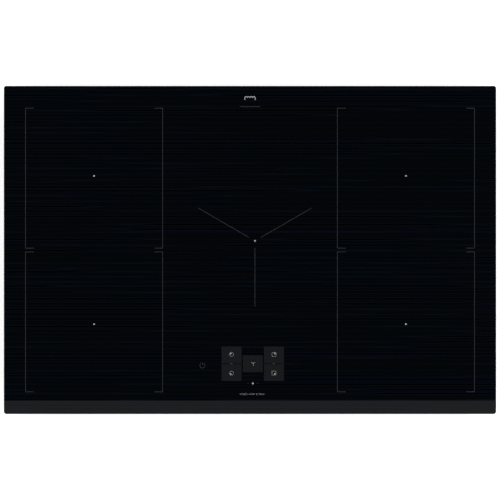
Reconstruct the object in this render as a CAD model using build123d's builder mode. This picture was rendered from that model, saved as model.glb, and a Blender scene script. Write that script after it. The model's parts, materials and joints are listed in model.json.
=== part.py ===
from build123d import *
import os

os.makedirs("parts", exist_ok=True)

# Built-in induction hob, millimetres. X runs to the right, Y to the back, Z up.
# The origin is under the middle of the hob, on the underside of its casing.

# ---- overall sizes ----
glass_width = 780.0
glass_depth = 520.0
glass_thickness = 4.0
overshoot = 1.0  # a cutter runs this far past the face that it opens
glass_corner = 4.0
glass_arris = 0.5  # ground chamfer on the top edges
front_bevel_width = 21.4  # ground facet along the front edge
front_bevel_drop = 2.0
casing_depth = 44.0  # from the worktop down to the underside
casing_inset = 20.0  # the glass overhangs the casing by this much all round
cutout_gap = 5.0  # between the casing and the edge of the worktop's cut-out

# ---- seal, glue and frame ----
seal_thickness = 2.0
seal_width = 9.0
seal_inset = 2.0  # from the edge of the glass
seal_joint = 0.3  # gap left at each mitre between two strips
bead_thickness = 1.0
bead_width = 8.0
rail_gauge = 1.5
rail_flange = 18.0
rail_drop = 15.0

# ---- tray ----
sheet = 0.8
tray_corner = 3.0
tray_bend = 1.5
tray_top_gap = 0.5  # between the tray's rim and the rail's flange
screw_shank = 3.5
screw_head = 7.5
screw_head_height = 1.8
screw_length = 6.5
screw_slack = 0.05  # per side, in the tray's wall
rail_hole_slack = 0.2  # per side, in the rails
screw_drop = 1.0  # below the middle of the strip where wall and rail overlap
recess_length = 4.5  # cross recess in the screw's head
recess_width = 1.2
recess_depth = 1.1
screws_long_side = 5
screws_short_side = 3
screw_end_margin = 60.0

# ---- cooling slots ----
slot_width = 4.0
slot_height = 13.0
slot_pitch = 8.0
slot_low = 9.0
front_slot_rows = 14
grille_slot = 3.2
grille_pitch = 6.5
grille_radius = 36.0

# ---- coils and their stack, from the glass down ----
zone_width = 218.0
zone_depth = 222.4
zone_margin = 34.0  # from the glass edge to the outer bracket line
zone_gap = 5.2  # between the front and the rear zone
centre_zone_x = 7.8
centre_zone_y = 14.6
centre_zone_radius = 105.0
mica_thickness = 0.6
winding_height = 4.5
winding_width = 3.8
winding_pitch = 4.2
former_thickness = 1.5
ferrite_height = 4.5
ferrite_width = 14.0
ferrite_length = 66.0
ferrite_start = 12.0  # from the sensor's hole
ferrite_count = 8
deck_thickness = 1.5
coil_margin = 8.0  # from a zone's bracket line to its winding
corner_inner_radius = 14.0
corner_run_x = 69.0
corner_run_y = 73.0
round_margin = 7.5  # from the rim of the centre zone to its winding
round_inner_radius = 24.0
former_lip = 3.0  # the former stands this far outside its winding
sensor_radius = 5.0
sensor_hole = 8.0  # radius of the hole that each sheet leaves for its sensor
deck_margin = 14.0  # from the outermost winding to the edge of the deck
deck_corner = 6.0
post_radius = 4.0
post_edge = 4.8  # from the inner edge of a side deck to the middle of its posts
post_board_gap = 3.0
post_far_y = 190.0
centre_post_x = 70.0
centre_post_y = 90.0
lead_radius = 1.6
lead_step = 6.0  # each lead lies this far from its coil's middle
lead_bend = 2.5
lead_sag = 9.0
lead_landing = 7.0  # from the board's inner edge
lead_start_gap = 0.2  # from the winding's side
lead_side_gap = 0.8  # from the former's edge
lead_hole_slack = 0.5

# ---- electronics ----
insulator_thickness = 1.0
insulator_margin = 1.0
standoff_height = 5.0
standoff_radius = 3.0
board_thickness = 1.6
board_outer_gap = 16.0  # between a power board and the side wall
board_front_gap = 14.0  # between a power board and the front wall
board_fan_gap = 1.4  # between a power board and the outlet of its fan
board_corner = 3.0
board_hole = 1.2
standoff_inset = 6.0
filter_width = 196.0
filter_depth = 62.0
filter_box_gap = 6.0  # between the filter board and the terminal box
heatsink_width = 62.0
heatsink_length = 236.0
heatsink_base = 3.0
heatsink_wall = 4.0
heatsink_deck_gap = 4.0  # from the fins up to the coil deck
heatsink_side_gap = 66.0  # between the heatsink and the tray's side wall
heatsink_fan_gap = 3.0
fin_thickness = 1.6
fin_count = 9
chip_thickness = 5.0
chip_width = 16.0
chip_lift = 3.0
chip_deck_gap = 2.0  # from a transistor up to the coil deck
chip_leg = 1.0
chip_leg_pitch = 5.4
rectifier_width = 30.0
rectifier_leg_pitch = 7.5
transistor_pitch = 44.0

# ---- parts on the boards: width and length, and the room left above them under the coil deck ----
component_corner = 1.0
link_cap_size = (20.0, 32.0)
resonant_cap_size = (22.0, 42.0)
filter_cap_size = (32.0, 15.0)
relay_size = (13.0, 29.0)
tall_part_gap = 7.0
low_part_gap = 9.0
core_outer = 15.0
core_inner = 8.0
core_height = 11.0
winding_skin = 2.0
winding_split = 6.0  # between the two windings of a choke

# ---- places of those parts: out from the heatsink or the board's edge, and along from its middle ----
link_cap_reach = 34.0
link_cap_ys = (-30.0, 14.0)
relay_reach = 30.0
relay_ys = (64.0, 100.0)
resonant_cap_reach = 26.0
resonant_cap_ys = (-100.0, -50.0, 0.0, 50.0)
choke_reach = 28.0
choke_y = 98.0
filter_choke_x = -60.0
filter_cap_x = 20.0
filter_cap_ys = (-16.0, 8.0)
filter_relay_x = 66.0

# ---- fans ----
fan_deck_gap = 5.6  # from a fan up to the coil deck
fan_wall = 1.5
fan_radius = 57.0  # of the scroll's round part
fan_side_gap = 14.0  # between the scroll and the casing's side wall
fan_rear_gap = 16.0
fan_throat = 16.0  # straight run from the scroll to its outlet
impeller_radius = 44.0
impeller_hub = 19.0
impeller_eye = 33.0  # inner radius of the blades
impeller_blades = 24
blade_thickness = 0.9
blade_lean = 28.0
impeller_gap = 2.0  # over the wheel
impeller_floor_gap = 5.0  # under the wheel, where the air enters
impeller_ring = 1.2
hub_skin = 1.5
shaft_boss = 2.0
shaft_radius = 1.5
bearing_clearance = 0.05
shaft_end_gap = 0.3
bush_wall = 1.5
bush_hub_gap = 7.0  # from the end of the bush down to the wheel's boss
boss_wall = 1.5
stator_radius = 14.0
stator_height = 7.0
stator_gap = 0.8  # under the fan's cover
stator_ring = 2.5
stator_teeth = 6
tooth_width = 3.2
shoe_thickness = 2.4
shoe_length = 9.0
shoe_corner = 0.5

# ---- mains terminal box ----
box_left = -52.0
box_right = 76.0
box_depth = 42.0
box_wall = 1.5
box_rail_gap = 1.0
window_left = -50.0
window_right = 50.0
window_low = 4.2
window_box_gap = 1.0  # from the window up to the top of the box
window_slack = 0.2
cover_thickness = 2.0
cover_slack = 0.5
cover_flush = 0.1  # the cover lies this far inside the wall's face
finger_width = 26.0
finger_height = 6.0
finger_depth = 0.9
trunnion_radius = 1.5
trunnion_length = 1.2
trunnion_clearance = 0.05
trunnion_rim = 0.4  # of the cover round its pivot
pole_count = 6
pole_pitch = 14.0
pole_radius = 3.4
pole_entry = 2.6  # radius of the hole that a wire enters
pole_entry_rise = 4.5
pole_entry_depth = 15.4
block_depth = 22.0
block_headroom = 6.8
block_back_gap = 1.0
clamp_sink = 2.8  # from the top of the block down to the screw
clamp_width = 7.0
clamp_slot = 1.0
clamp_slot_depth = 1.2
gland_x = 64.0
gland_bore = 5.0
gland_neck = 7.5
gland_slack = 0.3
gland_flange = 10.0
gland_flange_thickness = 2.0

# ---- spring clips ----
clip_width = 30.0
clip_gauge = 0.6
clip_spacing = 260.0  # between the front and the rear clip of one side
clip_preload = 1.5  # how far the relaxed leaf reaches past the cut-out's edge
clip_neck = 3.0  # below the pivot: the leaf leaves its holder
clip_crest = 10.0  # below the pivot: the leaf stands out furthest
clip_knee = 4.2  # above the slot's lower edge: the leaf turns into the slot
clip_toe = 3.2  # how far the free end reaches into the tray
clip_toe_rise = 2.5  # above the slot's lower edge
clip_lean = 0.6  # outwards, from the pivot to the neck and from the wall to the knee
clip_bend = 1.0
clip_end_gap = 0.5  # the clip is this much narrower than its holder at each end
clip_slot_play = 1.0  # at each end of the clip
holder_height = 7.0
holder_depth = 4.4
holder_rail_gap = 0.5
holder_mouth = 2.2  # inwards from the pivot to the edge of the groove's mouth
bead_radius = 1.2
hinge_clearance = 0.05
clip_slot_low = 2.6
clip_slot_high = 12.0

# ---- controls ----
print_height = 0.1
line_width = 1.0
bracket_end = 13.5
centre_dot = 1.5
zone_dot_lift = 3.6  # a corner zone's dot lies this far outside its middle, front or back
arm_inner = 11.0
arm_inset = 1.0  # from the end of an arm to the zone's edge
key_width = 31.6
key_depth = 26.7
key_gap = 1.0  # between the front and the rear key
key_side_gap = 2.0  # between two columns of keys
key_middle_x = 4.4
key_from_front = 79.8  # from the front edge to the middle of the keys
power_x = -75.3
icon_size = 7.0
icon_line = 0.7
icon_offset = 0.95  # the icons lie this far outside the middle of their key
lamp_drop = 31.2  # from the middle of the keys to the indicator lamp
carrier_wall = 1.5
carrier_corner = 4.0
carrier_depth = 74.0
carrier_left = -88.0
carrier_right = 66.0
carrier_height = 10.0
carrier_leg_inset = 8.0
carrier_leg_radius = 3.5
panel_lift = 2.4  # from the carrier's underside up to its board
panel_slack = 0.5
display_width = 12.0
display_depth = 8.0
display_gap = 0.3  # under the glass
display_lift = 4.0  # from the lamp to the middle of its display
touch_wire = 0.25
touch_coil_radius = 3.0
touch_turns = 4

# ---- levels and half sizes worked out from the values above ----
half_width = glass_width / 2
half_depth = glass_depth / 2
casing_x = half_width - casing_inset
casing_y = half_depth - casing_inset
glass_low = casing_depth + seal_thickness
glass_top = glass_low + glass_thickness
rail_top = glass_low - bead_thickness
rail_low = rail_top - rail_drop
wall_x = casing_x - rail_gauge  # outer face of the tray's side walls
wall_y = casing_y - rail_gauge
tray_top = rail_top - rail_gauge - tray_top_gap
floor_z = sheet
winding_top = glass_low - mica_thickness
winding_low = winding_top - winding_height
former_low = winding_low - former_thickness
deck_top = former_low - ferrite_height
deck_low = deck_top - deck_thickness
board_low = floor_z + insulator_thickness + standoff_height
board_top = board_low + board_thickness
headroom = deck_low - board_top
zone_x = half_width - zone_margin - zone_width / 2
zone_y = (zone_gap + zone_depth) / 2
keys_y = key_from_front - half_depth
key_step = (key_depth + key_gap) / 2
key_left_x = key_middle_x - key_width - key_side_gap
key_right_x = key_middle_x + key_width + key_side_gap
icon_lift = key_step + icon_offset
zone_centres = [(x, y) for x in (-zone_x, zone_x) for y in (-zone_y, zone_y)]
sensor_places = zone_centres + [(centre_zone_x, centre_zone_y)]
clip_bulge = rail_gauge + cutout_gap + clip_preload  # outwards from the tray's wall
turns = {"front": 0, "right": 90, "rear": 180, "left": 270}


def reach(side):
    # half length of a casing side, and its distance from the middle
    if side in ("front", "rear"):
        return casing_x, casing_y
    return casing_y, casing_x


def wall_plane(side, distance, height):
    # upright plane on one side: x along the wall, y up, z outwards
    base = Plane.XY.rotated((0, 0, turns[side]))
    spot = base.from_local_coords((0, -distance, height))
    return Plane(origin=spot, x_dir=base.x_dir, z_dir=-base.y_dir)


def screw_offsets(side):
    # where the casing screws sit along one side
    half_length = reach(side)[0]
    count = screws_long_side if side in ("front", "rear") else screws_short_side
    step = 2 * (half_length - screw_end_margin) / (count - 1)
    return [step * k - (half_length - screw_end_margin) for k in range(count)]


screw_z = (rail_low + tray_top) / 2 - screw_drop
screw_points = [(side, along) for side in turns for along in screw_offsets(side)]

# ---- glass panel ----
with BuildPart() as glass:
    with BuildSketch(Plane.XY.offset(glass_low)):
        RectangleRounded(glass_width, glass_depth, glass_corner)
    extrude(amount=glass_thickness)
    chamfer(glass.faces().sort_by(Axis.Z)[-1].edges(), glass_arris)
    # the facet's cutter runs past the glass so that no thin lip stays
    with BuildSketch(Plane.YZ.offset(-half_width - overshoot)):
        with BuildLine():
            slope = front_bevel_drop / front_bevel_width
            crest = (-half_depth + front_bevel_width, glass_top)
            Polyline(
                crest,
                (-half_depth - overshoot, glass_top - front_bevel_drop - slope * overshoot),
                (-half_depth - overshoot, glass_top + overshoot),
                (crest[0] + overshoot / slope, glass_top + overshoot),
                close=True,
            )
        make_face()
    extrude(amount=glass_width + 2 * overshoot, mode=Mode.SUBTRACT)
glass.part.label = "glass_ceramic_panel"
export_step(glass.part, "parts/glass_ceramic_panel.step")

# ---- printed zone marks ----
with BuildPart() as marks:
    with BuildSketch(Plane.XY.offset(glass_top)):
        for x, y in zone_centres:
            with Locations((x, y + (zone_dot_lift if y > 0 else -zone_dot_lift))):
                Circle(centre_dot)
            for hand in (-1, 1):
                line_x = x + hand * (zone_width - line_width) / 2
                end_x = x + hand * (zone_width - bracket_end) / 2
                with Locations((line_x, y)):
                    Rectangle(line_width, zone_depth)
                with Locations((end_x, y)):
                    with GridLocations(0, zone_depth - line_width, 1, 2):
                        Rectangle(bracket_end, line_width)
        arm_outer = centre_zone_radius - arm_inset
        with Locations((centre_zone_x, centre_zone_y)):
            Circle(centre_dot)
            with PolarLocations((arm_inner + arm_outer) / 2, 3, start_angle=-90):
                Rectangle(arm_outer - arm_inner, line_width)
    extrude(amount=print_height)
marks.part.label = "zone_markings"
export_step(marks.part, "parts/zone_markings.step")

# ---- printed key fields ----
with BuildPart() as keys:
    with BuildSketch(Plane.XY.offset(glass_top)):
        for x in (key_left_x, key_right_x):
            with Locations((x, keys_y)):
                with GridLocations(0, 2 * key_step, 1, 2):
                    Rectangle(key_width, key_depth)
        with Locations((key_middle_x, keys_y)):
            Rectangle(key_width, key_depth)
    extrude(amount=print_height)
keys.part.label = "key_fields"
export_step(keys.part, "parts/key_fields.step")

# ---- printed key symbols: they lie on the key fields, or on the bare glass ----
icon_level = glass_top + print_height
with BuildPart() as icons:
    with BuildSketch(Plane.XY.offset(icon_level)):
        for hand in (-1, 1):
            row_y = keys_y + hand * icon_lift
            with Locations((key_left_x, row_y)):
                Circle(icon_size / 2)
                Circle(icon_size / 2 - icon_line, mode=Mode.SUBTRACT)
            with Locations((key_left_x - icon_size / 4, row_y + hand * icon_size / 5)):
                Circle(icon_size / 4)
            with Locations((key_right_x, row_y)):
                Rectangle(icon_size, icon_size)
                Rectangle(icon_size - 2 * icon_line, icon_size - 2 * icon_line, mode=Mode.SUBTRACT)
            with Locations((key_right_x + icon_size / 5, row_y + hand * icon_size / 5)):
                Circle(icon_size / 4)
        with Locations((key_middle_x, keys_y)):
            Circle(icon_line)
            with PolarLocations(icon_size / 3, 3, start_angle=-90):
                Rectangle(icon_size / 2, icon_line)
    extrude(amount=print_height)
    with BuildSketch(Plane.XY.offset(glass_top)):
        with Locations((power_x, keys_y)):
            Circle(icon_size / 2)
            Circle(icon_size / 2 - icon_line, mode=Mode.SUBTRACT)
        with Locations((power_x, keys_y + icon_size / 5)):
            Rectangle(icon_line, icon_size / 2)
        with Locations((key_middle_x, keys_y - lamp_drop)):
            Circle(centre_dot)
    extrude(amount=print_height)
icons.part.label = "key_icons"
export_step(icons.part, "parts/key_icons.step")

# ---- seal, glue and the four frame rails, each strip mitred at its ends ----
seal_x = half_width - seal_inset
seal_y = half_depth - seal_inset
bead_inset = (rail_flange - bead_width) / 2


def mitred_strip(plane, half_length, distance, width):
    # outline of a strip whose outer line is at the given distance in front
    with BuildSketch(plane) as strip:
        with BuildLine():
            Polyline(
                (-half_length, -distance),
                (half_length, -distance),
                (half_length - width, width - distance),
                (width - half_length, width - distance),
                close=True,
            )
        make_face()
    return strip.sketch


with BuildPart() as seal:
    for side, turn in turns.items():
        plane = Plane.XY.rotated((0, 0, turn)).offset(casing_depth)
        half_length, distance = (seal_x, seal_y) if side in ("front", "rear") else (seal_y, seal_x)
        add(mitred_strip(plane, half_length - seal_joint, distance, seal_width))
    extrude(amount=seal_thickness)
seal.part.label = "rim_seal"
export_step(seal.part, "parts/rim_seal.step")

with BuildPart() as bead:
    for side, turn in turns.items():
        plane = Plane.XY.rotated((0, 0, turn)).offset(rail_top)
        half_length, distance = reach(side)
        add(mitred_strip(plane, half_length - bead_inset, distance - bead_inset, bead_width))
    extrude(amount=bead_thickness)
bead.part.label = "adhesive_bead"
export_step(bead.part, "parts/adhesive_bead.step")

for side, turn in turns.items():
    base = Plane.XY.rotated((0, 0, turn))
    half_length, distance = reach(side)
    with BuildPart() as rail:
        add(mitred_strip(base.offset(rail_low), half_length, distance, rail_gauge))
        extrude(amount=rail_drop)
        add(mitred_strip(base.offset(rail_top - rail_gauge), half_length, distance, rail_flange))
        extrude(amount=rail_gauge)
        with BuildSketch(wall_plane(side, distance, screw_z)):
            with Locations(*[(along, 0) for along in screw_offsets(side)]):
                Circle(screw_shank / 2 + rail_hole_slack)
        extrude(amount=-rail_gauge, mode=Mode.SUBTRACT)
    rail.part.label = f"frame_rail_{side}"
    export_step(rail.part, f"parts/frame_rail_{side}.step")

# ---- fan, terminal and clip places that the tray shares ----
tray_inner_x = wall_x - sheet
tray_inner_y = wall_y - sheet
fan_x = tray_inner_x - fan_side_gap - fan_radius
fan_y = tray_inner_y - fan_rear_gap - fan_radius
outlet_x = tray_inner_x - heatsink_side_gap - heatsink_width / 2
outlet_y = fan_y - fan_radius - fan_throat
box_top = rail_low - box_rail_gap
window_high = box_top - window_box_gap
gland_z = rail_low / 2
clip_places = {
    "front_left": ("left", clip_spacing / 2),
    "rear_left": ("left", -clip_spacing / 2),
    "front_right": ("right", -clip_spacing / 2),
    "rear_right": ("right", clip_spacing / 2),
}
holder_high = rail_low - holder_rail_gap
pivot_z = holder_high - holder_height / 2
pivot_out = holder_depth / 2  # from the tray's wall out to the clip's pivot

# ---- bottom tray: one folded sheet with its slots and screw holes ----
with BuildPart() as tray:
    with BuildSketch():
        RectangleRounded(2 * wall_x, 2 * wall_y, tray_corner)
    extrude(amount=tray_top)
    fillet(tray.faces().sort_by(Axis.Z)[0].edges(), tray_bend)
    rim = tray.faces().sort_by(Axis.Z)[-1]
    offset(amount=-sheet, openings=rim, kind=Kind.INTERSECTION)
    # inlet grilles under the fans
    with BuildSketch():
        for hand in (-1, 1):
            rows = int(grille_radius / grille_pitch)
            for row in range(-rows, rows + 1):
                chord = 2 * (grille_radius**2 - (row * grille_pitch) ** 2) ** 0.5
                with Locations((hand * fan_x, fan_y + row * grille_pitch)):
                    SlotOverall(max(chord, 3 * grille_slot), grille_slot)
    extrude(amount=sheet, mode=Mode.SUBTRACT)
    # outlet slots in the front wall, in line with the two heatsinks
    with BuildSketch(wall_plane("front", wall_y, slot_low + slot_height / 2)):
        for hand in (-1, 1):
            with Locations((hand * outlet_x, 0)):
                with GridLocations(slot_pitch, 0, front_slot_rows, 1):
                    SlotOverall(slot_height, slot_width, rotation=90)
    extrude(amount=-sheet, mode=Mode.SUBTRACT)
    # slots that the free ends of the spring clips pass through
    for side in ("left", "right"):
        with BuildSketch(wall_plane(side, wall_x, (clip_slot_low + clip_slot_high) / 2)):
            with GridLocations(clip_spacing, 0, 2, 1):
                Rectangle(clip_width + 2 * clip_slot_play, clip_slot_high - clip_slot_low)
        extrude(amount=-sheet, mode=Mode.SUBTRACT)
    # holes for the casing screws
    for side in turns:
        wall = reach(side)[1] - rail_gauge
        with BuildSketch(wall_plane(side, wall, screw_z)):
            with Locations(*[(along, 0) for along in screw_offsets(side)]):
                Circle(screw_shank / 2 + screw_slack)
        extrude(amount=-sheet, mode=Mode.SUBTRACT)
    # window for the terminal cover and hole for the cable gland; seen from the back, x is mirrored
    with BuildSketch(wall_plane("rear", wall_y, 0)):
        window_width = window_right - window_left + 2 * window_slack
        window_height = window_high - window_low + 2 * window_slack
        with Locations((-(window_left + window_right) / 2, (window_low + window_high) / 2)):
            Rectangle(window_width, window_height)
        with Locations((-gland_x, gland_z)):
            Circle(gland_neck + gland_slack)
    extrude(amount=-sheet, mode=Mode.SUBTRACT)
tray.part.label = "bottom_tray"
export_step(tray.part, "parts/bottom_tray.step")

# ---- casing screws ----
with BuildPart() as screws:
    for side, along in screw_points:
        seat = wall_plane(side, reach(side)[1], screw_z)
        with BuildSketch(seat):
            with Locations((along, 0)):
                Circle(screw_head / 2)
        extrude(amount=screw_head_height)
        with BuildSketch(seat):
            with Locations((along, 0)):
                Circle(screw_shank / 2)
        extrude(amount=-screw_length)
    # cross recess in each head
    for side, along in screw_points:
        with BuildSketch(wall_plane(side, reach(side)[1] + screw_head_height, screw_z)):
            with Locations((along, 0)):
                Rectangle(recess_length, recess_width)
                Rectangle(recess_width, recess_length)
        extrude(amount=-recess_depth, mode=Mode.SUBTRACT)
screws.part.label = "casing_screws"
export_step(screws.part, "parts/casing_screws.step")

# ---- clip holders: a block on the wall whose groove holds the rolled top of a spring clip ----
groove = bead_radius + hinge_clearance
with BuildPart() as holders:
    for side, along in clip_places.values():
        with BuildSketch(wall_plane(side, wall_x, pivot_z)):
            with Locations((along, 0)):
                Rectangle(clip_width, holder_height)
        extrude(amount=holder_depth)
    for side, along in clip_places.values():
        out = wall_plane(side, wall_x, pivot_z)
        end = Plane(out.from_local_coords((along - clip_width / 2, 0, 0)), x_dir=out.z_dir, z_dir=out.x_dir)
        with BuildSketch(end):
            with Locations((pivot_out, 0)):
                Circle(groove)
            # mouth of the groove: the leaf leaves through it and swings in it
            with BuildLine():
                lip = holder_height / 2 + overshoot
                Polyline(
                    (pivot_out, 0),
                    (pivot_out - holder_mouth, -lip if end.y_dir.Z > 0 else lip),
                    (pivot_out + holder_depth, -lip if end.y_dir.Z > 0 else lip),
                    close=True,
                )
            make_face()
        extrude(amount=clip_width, mode=Mode.SUBTRACT)
holders.part.label = "clip_holders"
export_step(holders.part, "parts/clip_holders.step")

# ---- spring clips: a rolled bead, a leaf that bulges out, and a toe that enters the tray ----
for name, (side, along) in clip_places.items():
    out = wall_plane(side, wall_x, 0)
    corner = out.from_local_coords((along - clip_width / 2 + clip_end_gap, 0, 0))
    start = Plane(corner, x_dir=out.z_dir, z_dir=out.x_dir)
    up = 1 if start.y_dir.Z > 0 else -1
    with BuildPart() as clip:
        with BuildSketch(start):
            with Locations((pivot_out, up * pivot_z)):
                Circle(bead_radius)
            with BuildLine() as leaf:
                FilletPolyline(
                    (pivot_out, up * pivot_z),
                    (pivot_out + clip_lean, up * (pivot_z - clip_neck)),
                    (clip_bulge, up * (pivot_z - clip_crest)),
                    (clip_lean, up * (clip_slot_low + clip_knee)),
                    (-clip_toe, up * (clip_slot_low + clip_toe_rise)),
                    radius=clip_bend,
                )
            trace(leaf.line, line_width=clip_gauge)
        extrude(amount=clip_width - 2 * clip_end_gap)
    clip.part.label = f"spring_clip_{name}"
    export_step(clip.part, f"parts/spring_clip_{name}.step")

# ---- power boards with their insulating sheets and standoffs ----
corner_turns = int((zone_width / 2 - coil_margin - corner_run_x / 2 - corner_inner_radius) / winding_pitch)
corner_bend = corner_inner_radius + winding_pitch * corner_turns + winding_width / 2
corner_half_x = corner_run_x / 2 + corner_bend
corner_half_y = corner_run_y / 2 + corner_bend
deck_inner_x = zone_x - corner_half_x - deck_margin  # inner edge of a side deck
inner_post_x = deck_inner_x + post_edge
board_inner_x = inner_post_x + post_radius + post_board_gap
board_outer_x = tray_inner_x - board_outer_gap
board_width = board_outer_x - board_inner_x
board_x = (board_outer_x + board_inner_x) / 2
board_front_y = -tray_inner_y + board_front_gap
board_rear_y = outlet_y - board_fan_gap
board_length = board_rear_y - board_front_y
board_y = (board_front_y + board_rear_y) / 2
filter_y = tray_inner_y - box_depth - filter_depth / 2 - filter_box_gap
board_places = [(hand * board_x, board_y, board_width, board_length) for hand in (-1, 1)]
board_places.append((0, filter_y, filter_width, filter_depth))
insulator_corner = board_corner + insulator_margin

with BuildPart() as insulators:
    with BuildSketch(Plane.XY.offset(floor_z)):
        for x, y, width, length in board_places:
            with Locations((x, y)):
                outline = (width + 2 * insulator_margin, length + 2 * insulator_margin)
                RectangleRounded(*outline, insulator_corner)
    extrude(amount=insulator_thickness)
insulators.part.label = "board_insulators"
export_step(insulators.part, "parts/board_insulators.step")

with BuildPart() as standoffs:
    with BuildSketch(Plane.XY.offset(floor_z + insulator_thickness)):
        for x, y, width, length in board_places:
            with Locations((x, y)):
                with GridLocations(width - 2 * standoff_inset, length - 2 * standoff_inset, 2, 2):
                    Circle(standoff_radius)
    extrude(amount=standoff_height)
standoffs.part.label = "board_standoffs"
export_step(standoffs.part, "parts/board_standoffs.step")

for name, place in zip(("power_board_left", "power_board_right", "filter_board"), board_places):
    x, y, width, length = place
    with BuildPart() as board:
        with BuildSketch(Plane.XY.offset(board_low)):
            with Locations((x, y)):
                RectangleRounded(width, length, board_corner)
                with GridLocations(width - 2 * standoff_inset, length - 2 * standoff_inset, 2, 2):
                    Circle(board_hole, mode=Mode.SUBTRACT)
        extrude(amount=board_thickness)
    board.part.label = name
    export_step(board.part, f"parts/{name}.step")

# ---- heatsinks in line with the fan outlets ----
sink_x = outlet_x
sink_y = outlet_y - heatsink_fan_gap - heatsink_length / 2
heatsink_height = headroom - heatsink_deck_gap
for hand, name in ((-1, "left"), (1, "right")):
    with BuildPart() as sink:
        with BuildSketch(Plane.XZ.offset(-sink_y)):
            with Locations((hand * sink_x, board_top + heatsink_base / 2)):
                Rectangle(heatsink_width, heatsink_base)
            with Locations((hand * sink_x, board_top + heatsink_height / 2)):
                with GridLocations(heatsink_width - heatsink_wall, 0, 2, 1):
                    Rectangle(heatsink_wall, heatsink_height)
                pitch = (heatsink_width - 2 * heatsink_wall) / (fin_count + 1)
                with GridLocations(pitch, 0, fin_count, 1):
                    Rectangle(fin_thickness, heatsink_height)
        extrude(amount=heatsink_length / 2, both=True)
    sink.part.label = f"heatsink_{name}"
    export_step(sink.part, f"parts/heatsink_{name}.step")

# ---- power transistors and bridge rectifiers, screwed flat against the heatsinks' inner wall ----
chip_height = headroom - chip_lift - chip_deck_gap
sink_face = sink_x - heatsink_width / 2
transistor_ys = [sink_y + step * transistor_pitch for step in (-2, -1, 1, 2)]


def stand_chip(x, y, width, leg_count, leg_pitch):
    # a flat package that stands on its legs, its back against the heatsink
    with Locations((x, y, board_top + chip_lift + chip_height / 2)):
        Box(chip_thickness, width, chip_height)
    with Locations((x, y, board_top + chip_lift / 2)):
        with GridLocations(0, leg_pitch, 1, leg_count):
            Box(chip_leg, chip_leg, chip_lift)


with BuildPart() as transistors:
    for hand in (-1, 1):
        for y in transistor_ys:
            stand_chip(hand * (sink_face - chip_thickness / 2), y, chip_width, 3, chip_leg_pitch)
transistors.part.label = "power_transistors"
export_step(transistors.part, "parts/power_transistors.step")

with BuildPart() as rectifiers:
    for hand in (-1, 1):
        rectifier_x = hand * (sink_face - chip_thickness / 2)
        stand_chip(rectifier_x, sink_y, rectifier_width, 4, rectifier_leg_pitch)
rectifiers.part.label = "bridge_rectifiers"
export_step(rectifiers.part, "parts/bridge_rectifiers.step")

# ---- capacitors, relays and chokes on the boards ----
tall_part = headroom - tall_part_gap
low_part = headroom - low_part_gap
choke_rise = board_top + winding_skin + core_height / 2
choke_x = board_inner_x + choke_reach
choke_spots = [(-choke_x, sink_y + choke_y), (choke_x, sink_y + choke_y), (filter_choke_x, filter_y)]


def stand_boxes(size, height, spots):
    # one rounded box on the board at each spot
    with BuildPart() as boxes:
        with BuildSketch(Plane.XY.offset(board_top)):
            with Locations(*spots):
                RectangleRounded(*size, component_corner)
        extrude(amount=height)
    return boxes


def both_boards(x, ys):
    # the same places on the left and on the right power board
    return [(hand * x, sink_y + y) for hand in (-1, 1) for y in ys]


link_caps = stand_boxes(link_cap_size, tall_part, both_boards(sink_face - link_cap_reach, link_cap_ys))
link_caps.part.label = "dc_link_capacitors"
export_step(link_caps.part, "parts/dc_link_capacitors.step")

resonant_spots = both_boards(board_inner_x + resonant_cap_reach, resonant_cap_ys)
resonant_caps = stand_boxes(resonant_cap_size, low_part, resonant_spots)
resonant_caps.part.label = "resonant_capacitors"
export_step(resonant_caps.part, "parts/resonant_capacitors.step")

filter_caps = stand_boxes(filter_cap_size, tall_part, [(filter_cap_x, filter_y + y) for y in filter_cap_ys])
filter_caps.part.label = "filter_capacitors"
export_step(filter_caps.part, "parts/filter_capacitors.step")

relay_spots = both_boards(sink_face - relay_reach, relay_ys) + [(filter_relay_x, filter_y)]
relays = stand_boxes(relay_size, low_part, relay_spots)
relays.part.label = "relays"
export_step(relays.part, "parts/relays.step")

with BuildPart() as cores:
    with BuildSketch(Plane.XY.offset(choke_rise - core_height / 2)):
        with Locations(*choke_spots):
            Circle(core_outer)
            Circle(core_inner, mode=Mode.SUBTRACT)
    extrude(amount=core_height)
cores.part.label = "choke_cores"
export_step(cores.part, "parts/choke_cores.step")

with BuildPart() as choke_wires:
    with BuildSketch(Plane.XY.offset(board_top)):
        with Locations(*choke_spots):
            Circle(core_outer + winding_skin)
            Circle(core_inner - winding_skin, mode=Mode.SUBTRACT)
            split_length = 2 * (core_outer + winding_skin + overshoot)
            Rectangle(split_length, winding_split, mode=Mode.SUBTRACT)
    extrude(amount=core_height + 2 * winding_skin)
    with BuildSketch(Plane.XY.offset(choke_rise - core_height / 2)):
        with Locations(*choke_spots):
            Circle(core_outer)
            Circle(core_inner, mode=Mode.SUBTRACT)
    extrude(amount=core_height, mode=Mode.SUBTRACT)
choke_wires.part.label = "choke_windings"
export_step(choke_wires.part, "parts/choke_windings.step")

# ---- fans: a scroll with its inlet below, a cover that carries the motor, a wheel on its shaft ----
fan_low = floor_z
fan_height = deck_low - fan_deck_gap - fan_low
fan_cover_low = fan_low + fan_height - fan_wall
wheel_high = fan_cover_low - impeller_gap
wheel_low = fan_low + fan_wall + impeller_floor_gap
impeller_height = wheel_high - wheel_low


def scroll_outline(hand, shrink):
    # round part and straight throat of the scroll, drawn smaller by the given amount
    with BuildSketch() as outline:
        with Locations((hand * fan_x, fan_y)):
            Circle(fan_radius - shrink)
        with Locations((hand * outlet_x, (fan_y + outlet_y) / 2)):
            Rectangle(heatsink_width - 2 * shrink, fan_y - outlet_y)
    return outline.sketch


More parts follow.
